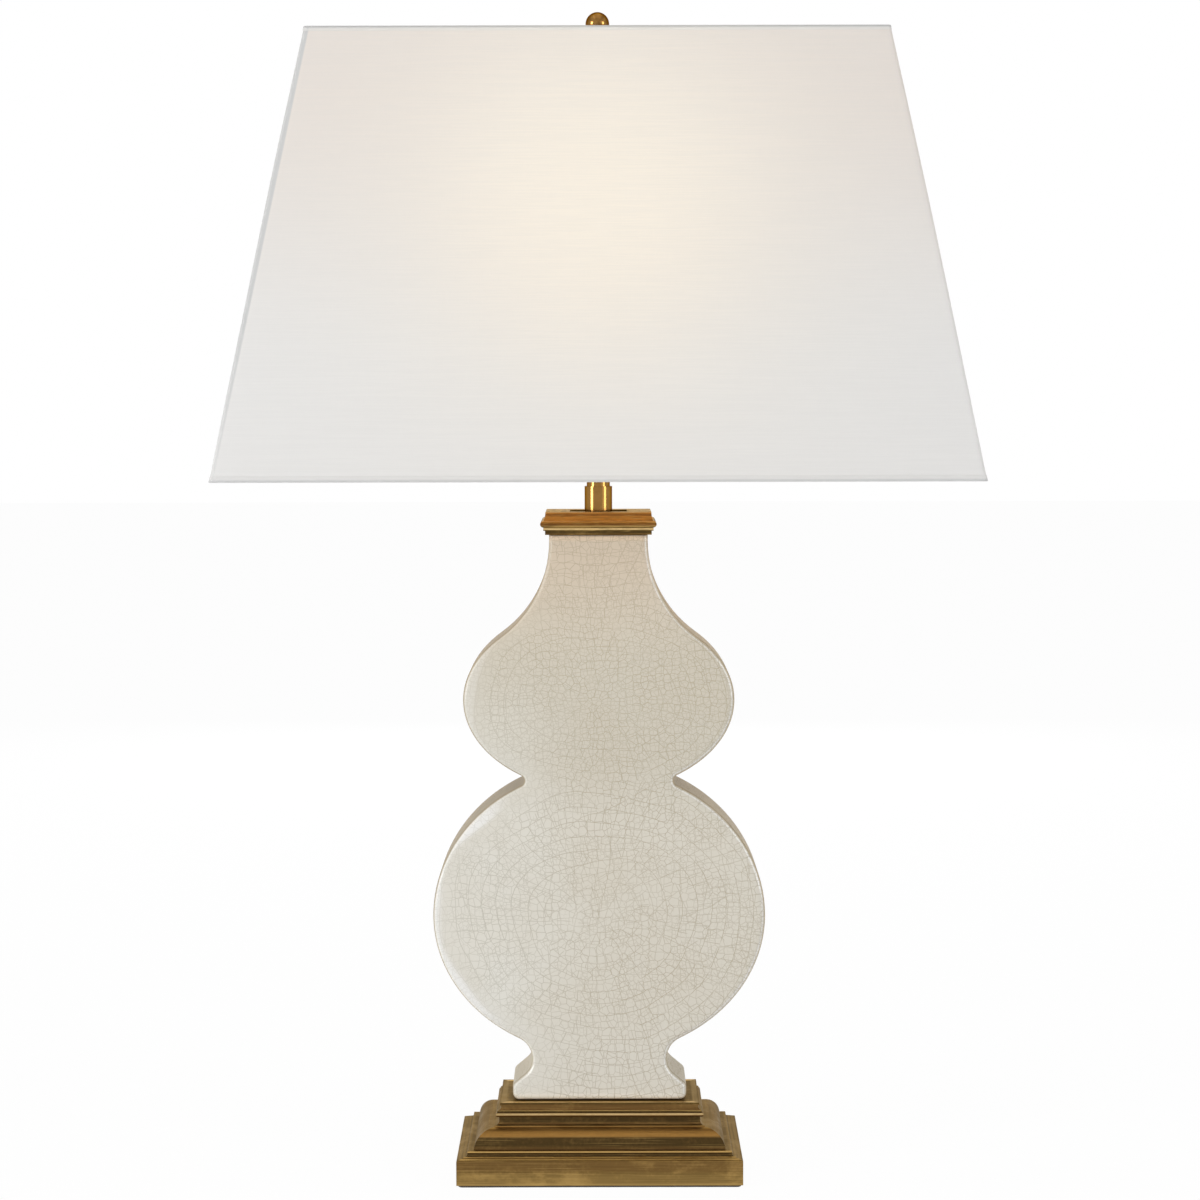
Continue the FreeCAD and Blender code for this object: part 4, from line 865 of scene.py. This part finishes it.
class ShadeForm:
    """The sloping walls of the shade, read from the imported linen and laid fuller."""

    corner = 2.5 * MM
    tightest_corner = 0.4 * MM
    fullness = 0.8 * MM
    corner_steps = 8
    side_steps = 24

    def __init__(self):
        low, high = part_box("shade_cover")
        self.bottom, self.top = low.z, high.z + self.fullness * 0.75
        self.bottom_half, self.top_half = self.halves(low.z), self.halves(high.z)

    def halves(self, z):
        """Half the width and the depth at one of the edges."""
        corners = [v.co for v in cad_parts["shade_cover"].data.vertices
                   if abs(v.co.z - z) < 0.01 * MM]
        return [max(co[axis] for co in corners) + self.fullness for axis in (0, 1)]

    def half(self, z, axis):
        """Half the width or the depth at a height."""
        share = (z - self.bottom) / (self.top - self.bottom)
        return self.bottom_half[axis] + (self.top_half[axis] - self.bottom_half[axis]) * share

    def loop(self, z, depth, ripple=None):
        """Level ring of points at a depth under the linen's face."""
        radius = max(self.corner - depth, self.tightest_corner)
        arcs = corner_arcs(self.half(z, 0) - depth, self.half(z, 1) - depth, radius, z,
                           self.corner_steps)
        points = []
        for arc, after in zip(arcs, arcs[1:] + arcs[:1]):
            points += arc
            points += [arc[-1].lerp(after[0], step / self.side_steps)
                       for step in range(1, self.side_steps)]
        if ripple:
            centre = Vector((0, 0, z))
            points = [p + (p - centre).normalized() * ripple(p) for p in points]
        return points


def slack(share):
    """The swell and slight unevenness of hand-laid cloth, nothing at the wired edges."""
    swell, unevenness = 1.1 * MM, 0.22 * MM
    hold = math.sin(math.pi * share)

    def ripple(point):
        wave = math.sin(point.x * 31 + point.y * 17 + share * 5) + math.sin(point.x * 13 + 2)
        return hold * (swell + unevenness * wave)
    return ripple


class LAMP_OT_linen_cover(bpy.types.Operator):
    """Stretch the linen over the liner"""

    bl_idname = "lamp.linen_cover"
    bl_label = "Linen Cover"

    thickness = 0.75 * MM + ShadeForm.fullness
    rows = 30

    def execute(self, context):
        form = ShadeForm()
        shares = [step / self.rows for step in range(self.rows + 1)]
        heights = [form.bottom + (form.top - form.bottom) * share for share in shares]
        rings = [form.loop(z, 0.0, slack(share)) for share, z in zip(shares, heights)]
        rings += [form.loop(z, self.thickness) for z in reversed(heights)]
        cover = skin("linen_cover", rings, linen("linen"), 50)
        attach(cover, "shade")
        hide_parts("shade_cover")
        height = math.hypot(form.top - form.bottom, form.bottom_half[0] - form.top_half[0])
        around = 4 * (form.bottom_half[0] + form.bottom_half[1])
        top_around = 4 * (form.top_half[0] + form.top_half[1])
        (around + top_around) / 2 * height
        return {"FINISHED"}


class LAMP_OT_shade_trims(bpy.types.Operator):
    """Fold linen tape over both edges of the shade and its ring wires"""

    bl_idname = "lamp.shade_trims"
    bl_label = "Shade Trims"

    tape = 0.38 * MM
    lip = 0.1 * MM
    pocket = 4.0 * MM
    turn_in = 3.4 * MM
    bends = 0.8 * MM

    def section(self, edge, inward, height):
        """Cross-section of the tape as depth and height, outer face first."""
        tape, lip, bend = self.tape, self.lip, self.tape * 0.7
        pocket = self.pocket + ShadeForm.fullness
        outer = [(-lip, height), (-tape, height - 1.0 * MM), (-tape, 0.5 * MM),
                 (-bend, -bend), (0.5 * MM, -tape), (pocket - 0.5 * MM, -tape),
                 (pocket + bend, -bend), (pocket + tape, 0.5 * MM),
                 (pocket + tape, self.turn_in - 0.2 * MM), (pocket + lip, self.turn_in)]
        inner = [(pocket, self.turn_in - 0.3 * MM), (pocket, 0.0), (0.0, 0.0),
                 (0.0, height - 0.3 * MM)]
        return [(depth, edge + inward * up) for depth, up in outer + inner]

    def execute(self, context):
        form = ShadeForm()
        for name, edge, inward, height, node in (
                ("top_trim", form.top, -1, 3.0 * MM, "shade_top_trim"),
                ("bottom_trim", form.bottom, 1, 3.8 * MM, "shade_bottom_trim")):
            rings = [form.loop(z, depth) for depth, z in self.section(edge, inward, height)]
            trim = skin(name, rings, linen("linen_" + name, 0.93, edge), 60)
            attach(trim, "shade")
            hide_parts(node)
            around = 4 * (form.half(edge, 0) + form.half(edge, 1))
            width = height + self.pocket + self.turn_in + self.bends
        return {"FINISHED"}


class LAMP_OT_shade_frame(bpy.types.Operator):
    """Finish the liner, the ring wires and the spider"""

    bl_idname = "lamp.shade_frame"
    bl_label = "Shade Frame"

    def execute(self, context):
        dress(styrene(), "shade_liner")
        dress(moulded_finish("white_wire", (0.80, 0.79, 0.76), 0.35, 3 * MM, 0.1 * MM),
              "shade_top_ring", "shade_bottom_ring", "spider_washer", "spider_arm_left",
              "spider_arm_right", "spider_arm_front", "spider_arm_back")
        return {"FINISHED"}


class LAMP_OT_felt(bpy.types.Operator):
    """Lay the felt under the base, with its scissor-cut edge"""

    bl_idname = "lamp.felt"
    bl_label = "Felt Pad"

    corner = 3 * MM
    corner_steps = 6
    snip = 2.5 * MM
    unevenness = 0.12 * MM
    wander = ((23, 0, 1.0), (57, 1, 0.7), (131, 2, 0.5))

    def outline(self, half_x, half_y, z, inset):
        """Ring with soft corners and a slightly uneven cut."""
        spots = sum(corner_arcs(half_x, half_y, self.corner, z, self.corner_steps), [])
        ring = []
        for here, there in zip(spots, spots[1:] + spots[:1]):
            count = max(1, round((there - here).length / self.snip))
            for step in range(count):
                point = here.lerp(there, step / count)
                bearing = math.atan2(point.y, point.x)
                wave = sum(size * math.sin(bearing * waves + start)
                           for waves, start, size in self.wander)
                cut = inset + self.unevenness * (1 + wave / 2)
                ring.append(point - point.normalized() * cut)
        return ring

    def execute(self, context):
        low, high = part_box("felt_pad")
        soft = 0.25 * MM
        levels = [(low.z, soft), (low.z + soft, 0.0), (high.z - soft, 0.0), (high.z, soft)]
        rings = [self.outline(high.x, high.y, z, inset) for z, inset in levels]
        pad = skin("felt_sheet", rings, felt_nap(), 60, closed=False)
        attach(pad, "lamp_base")
        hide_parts("felt_pad")
        return {"FINISHED"}


class LAMP_OT_base(bpy.types.Operator):
    """Finish the brass base, its weight and its hardware"""

    bl_idname = "lamp.base"
    bl_label = "Base"

    def execute(self, context):
        brass = antique_brass("antique_brass", "base_plinth", base_marks, 50 * MM, 0.22)
        dress(brass, "base_plinth", "base_moulding", "base_top_tier")
        dress(moulded_finish("black_steel", (0.04, 0.04, 0.04), 0.45), "bottom_plate")
        dress(plain_metal("iron", (0.16, 0.15, 0.15), 0.6, 2 * MM, 0.4 * MM), "base_weight")
        dress(moulded_finish("black_plastic", (0.025, 0.023, 0.02), 0.3), "cord_bushing")
        dress(moulded_finish("gasket", (0.03, 0.03, 0.03), 0.75), "foot_gasket", "cap_gasket")
        dress(plain_metal("zinc_steel", (0.62, 0.63, 0.64), 0.3), "center_pipe", "pipe_washer",
              "pipe_nut")
        return {"FINISHED"}


class LAMP_OT_gourd(bpy.types.Operator):
    """Glaze the gourd"""

    bl_idname = "lamp.gourd"
    bl_label = "Gourd"

    def execute(self, context):
        dress(crackle_glaze(), "gourd_body")
        return {"FINISHED"}


class LAMP_OT_neck(bpy.types.Operator):
    """Finish the cap, the neck tube and the collar"""

    bl_idname = "lamp.neck"
    bl_label = "Cap and Neck"

    def execute(self, context):
        cap = antique_brass("antique_brass_cap", "cap_moulding", cap_marks, 15 * MM, 0.5, 0.9)
        dress(cap, "cap_moulding")
        dress(satin_brass(), "neck_tube", "neck_collar", "harp_saddle", "socket_cap",
              "socket_shell", "terminal_screw_left", "harp_loop", "harp_sleeve_left",
              "harp_sleeve_right", "finial_base")
        dress(satin_brass("satin_brass_tarnished", 0.7), "finial_ball")
        return {"FINISHED"}


class LAMP_OT_socket(bpy.types.Operator):
    """Finish the insides of the socket and its switch"""

    bl_idname = "lamp.socket"
    bl_label = "Socket and Switch"

    def execute(self, context):
        dress(moulded_finish("insulating_paper", (0.24, 0.19, 0.13), 0.8), "socket_sleeve")
        dress(moulded_finish("phenolic", (0.05, 0.035, 0.028), 0.3), "socket_core")
        dress(plain_metal("contact_brass", (0.72, 0.53, 0.26), 0.25), "screw_shell",
              "center_contact")
        dress(bpy.data.materials["zinc_steel"], "terminal_screw_right", "switch_stem")
        dress(bpy.data.materials["black_plastic"], "switch_knob")
        return {"FINISHED"}


class LAMP_OT_bulb(bpy.types.Operator):
    """Finish the bulb and roll the thread of its cap"""

    bl_idname = "lamp.bulb"
    bl_label = "Bulb"

    around = 72
    rows = 60

    def execute(self, context):
        dress(frosted_glass(), "bulb_glass")
        metal = plain_metal("bulb_metal", (0.72, 0.71, 0.68), 0.25)
        dress(metal, "bulb_contact")
        low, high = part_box("bulb_cap")
        radius, tip, depth, pitch = high.x, 5.6 * MM, 0.9 * MM, 3.63 * MM
        taper, cone, start = 2.2 * MM, 3.2 * MM, 4.2 * MM
        skirt, hem, rounding = 4.5 * MM, 0.6 * MM, 0.4 * MM
        rings = turned([(tip, low.z), (radius - taper, low.z + cone)], self.around)
        rings += threaded(radius, depth, pitch, low.z + start, high.z - skirt,
                          self.around, self.rows)
        rings += turned([(radius, high.z - hem), (radius - rounding, high.z)], self.around)
        cap = skin("bulb_screw_cap", rings, metal, 40, closed=False)
        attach(cap, "bulb")
        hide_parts("bulb_cap")
        return {"FINISHED"}


class LAMP_OT_stud(bpy.types.Operator):
    """Turn the swivel stud with its thread"""

    bl_idname = "lamp.stud"
    bl_label = "Swivel Stud"

    around = 48
    rows = 120
    pad_thickness = 3.8 * MM

    def execute(self, context):
        low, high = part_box("harp_stud")
        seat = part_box("spider_washer")[0].z
        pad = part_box("harp_loop")[1].z
        pad_under = pad - self.pad_thickness
        neck, rivet, flange, post = 2.5 * MM, 4.2 * MM, 8.5 * MM, 3.1 * MM
        play, chamfer, depth, pitch = 0.1 * MM, 0.3 * MM, 0.45 * MM, 0.94 * MM
        dome, relief, tip = 0.5 * MM, 1.0 * MM, 0.6 * MM
        rings = turned([
            (rivet * 0.6, low.z), (rivet, low.z + dome), (rivet, pad_under - play),
            (neck, pad_under - play), (neck, pad + play), (flange - chamfer, pad + play),
            (flange, pad + play + chamfer), (flange, seat - chamfer),
            (flange - chamfer, seat), (post, seat)], self.around)
        rings += threaded(post, depth, pitch, seat + relief, high.z - tip,
                          self.around, self.rows)
        rings += turned([(post - tip, high.z)], self.around)
        stud = skin("swivel_stud", rings, bpy.data.materials["satin_brass"], 35, closed=False)
        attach(stud, "stud")
        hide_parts("harp_stud")
        return {"FINISHED"}


class LAMP_OT_stage(bpy.types.Operator):
    """Set the camera, the surroundings, the floor and the lamps"""

    bl_idname = "lamp.stage"
    bl_label = "Stage"

    floor_reach = 12.0
    middle = Vector((0.0, 0.0, 0.4))

    def execute(self, context):
        look = settings("stage")
        self.add_camera(look)
        self.add_world(look)
        self.add_floor(look)
        self.add_box("left_box", (-2.4, -1.6, 0.7), 0.9, 1.8, look.left_power)
        self.add_box("right_box", (2.4, -1.5, 0.7), 0.8, 1.8, look.right_power)
        self.add_box("fill_box", (1.9, -1.9, 1.0), 1.2, 1.6, look.fill_power)
        self.add_box("top_box", (0.0, -0.2, 2.2), 1.6, 1.6, look.top_power)
        self.add_box("back_box", (0.0, 2.6, 1.0), 1.4, 1.4, look.back_power, False)
        context.scene.view_settings.view_transform = "Standard"
        return {"FINISHED"}

    def add_camera(self, look):
        """Stand the camera in front of the lamp, level with the lower part of its shade."""
        data = bpy.data.cameras.new("camera")
        data.sensor_width = 36.0
        data.lens = look.focal_length
        camera = stand("camera", data)
        camera.location = (look.camera_side, -look.camera_distance, look.camera_height)
        camera.rotation_euler = (math.pi / 2 - look.camera_pitch, look.camera_roll, 0.0)
        bpy.context.scene.camera = camera

    def add_world(self, look):
        """White where it is seen or mirrored, and softer as a light."""
        make = Shader("studio", "worlds")
        strength = look.sky + make.seen_or_mirrored() * (1.0 - look.sky)
        sky = make.node("ShaderNodeBackground", None, {0: WHITE, 1: strength})
        make.node("ShaderNodeOutputWorld", None, {"Surface": sky})
        bpy.context.scene.world = make.owner

    def add_floor(self, look):
        """Pale paper that takes shadows and light, nearly white where it is seen."""
        make = Shader("floor")
        paper = make.node("ShaderNodeBsdfDiffuse", None, {"Color": PAPER})
        plain = make.node("ShaderNodeEmission", None, {"Color": WHITE})
        shown = make.node("ShaderNodeMixShader", None,
                          {0: make.seen_or_mirrored() * look.floor_white, 1: paper, 2: plain})
        make.node("ShaderNodeOutputMaterial", None, {"Surface": shown})
        form = bmesh.new()
        bmesh.ops.create_grid(form, x_segments=4, y_segments=4, size=self.floor_reach)
        floor = solid("floor", form, make.owner)

    def add_box(self, name, place, width, height, power, mirrored=True):
        """A soft box that faces the middle of the lamp."""
        data = bpy.data.lights.new(name, "AREA")
        data.shape = "RECTANGLE"
        data.size = width
        data.size_y = height
        data.energy = power
        lamp = stand(name, data)
        lamp.location = place
        towards = self.middle - Vector(place)
        lamp.rotation_euler = towards.to_track_quat("-Z", "Y").to_euler()
        lamp.visible_glossy = mirrored


class LAMP_PT_panel(bpy.types.Panel):
    """Pieces of the lamp and their settings"""

    bl_idname = "LAMP_PT_panel"
    bl_label = "Double Gourd Lamp"
    bl_space_type = "VIEW_3D"
    bl_region_type = "UI"
    bl_category = "Lamp"

    def draw(self, context):
        for operator in OPERATORS:
            self.layout.operator(operator.bl_idname)
        for group, kind in GROUPS.items():
            box = self.layout.box()
            box.label(text=group.title())
            for name in kind.__annotations__:
                box.prop(getattr(context.scene, "lamp_" + group), name)


GROUPS = {
    "stage": StageSettings,
    "glaze": GlazeSettings,
    "brass": BrassSettings,
    "cloth": ClothSettings,
}
OPERATORS = (
    LAMP_OT_stage,
    LAMP_OT_linen_cover,
    LAMP_OT_shade_trims,
    LAMP_OT_shade_frame,
    LAMP_OT_felt,
    LAMP_OT_base,
    LAMP_OT_gourd,
    LAMP_OT_neck,
    LAMP_OT_socket,
    LAMP_OT_bulb,
    LAMP_OT_stud,
)


def register():
    for group, kind in GROUPS.items():
        bpy.utils.register_class(kind)
        setattr(bpy.types.Scene, "lamp_" + group, bpy.props.PointerProperty(type=kind))
    for operator in OPERATORS:
        bpy.utils.register_class(operator)
    bpy.utils.register_class(LAMP_PT_panel)


def unregister():
    bpy.utils.unregister_class(LAMP_PT_panel)
    for operator in reversed(OPERATORS):
        bpy.utils.unregister_class(operator)
    for group, kind in GROUPS.items():
        delattr(bpy.types.Scene, "lamp_" + group)
        bpy.utils.unregister_class(kind)


def main():
    register()
    for operator in OPERATORS:
        group, name = operator.bl_idname.split(".")
        getattr(getattr(bpy.ops, group), name)()


if __name__ == "__main__":
    main()
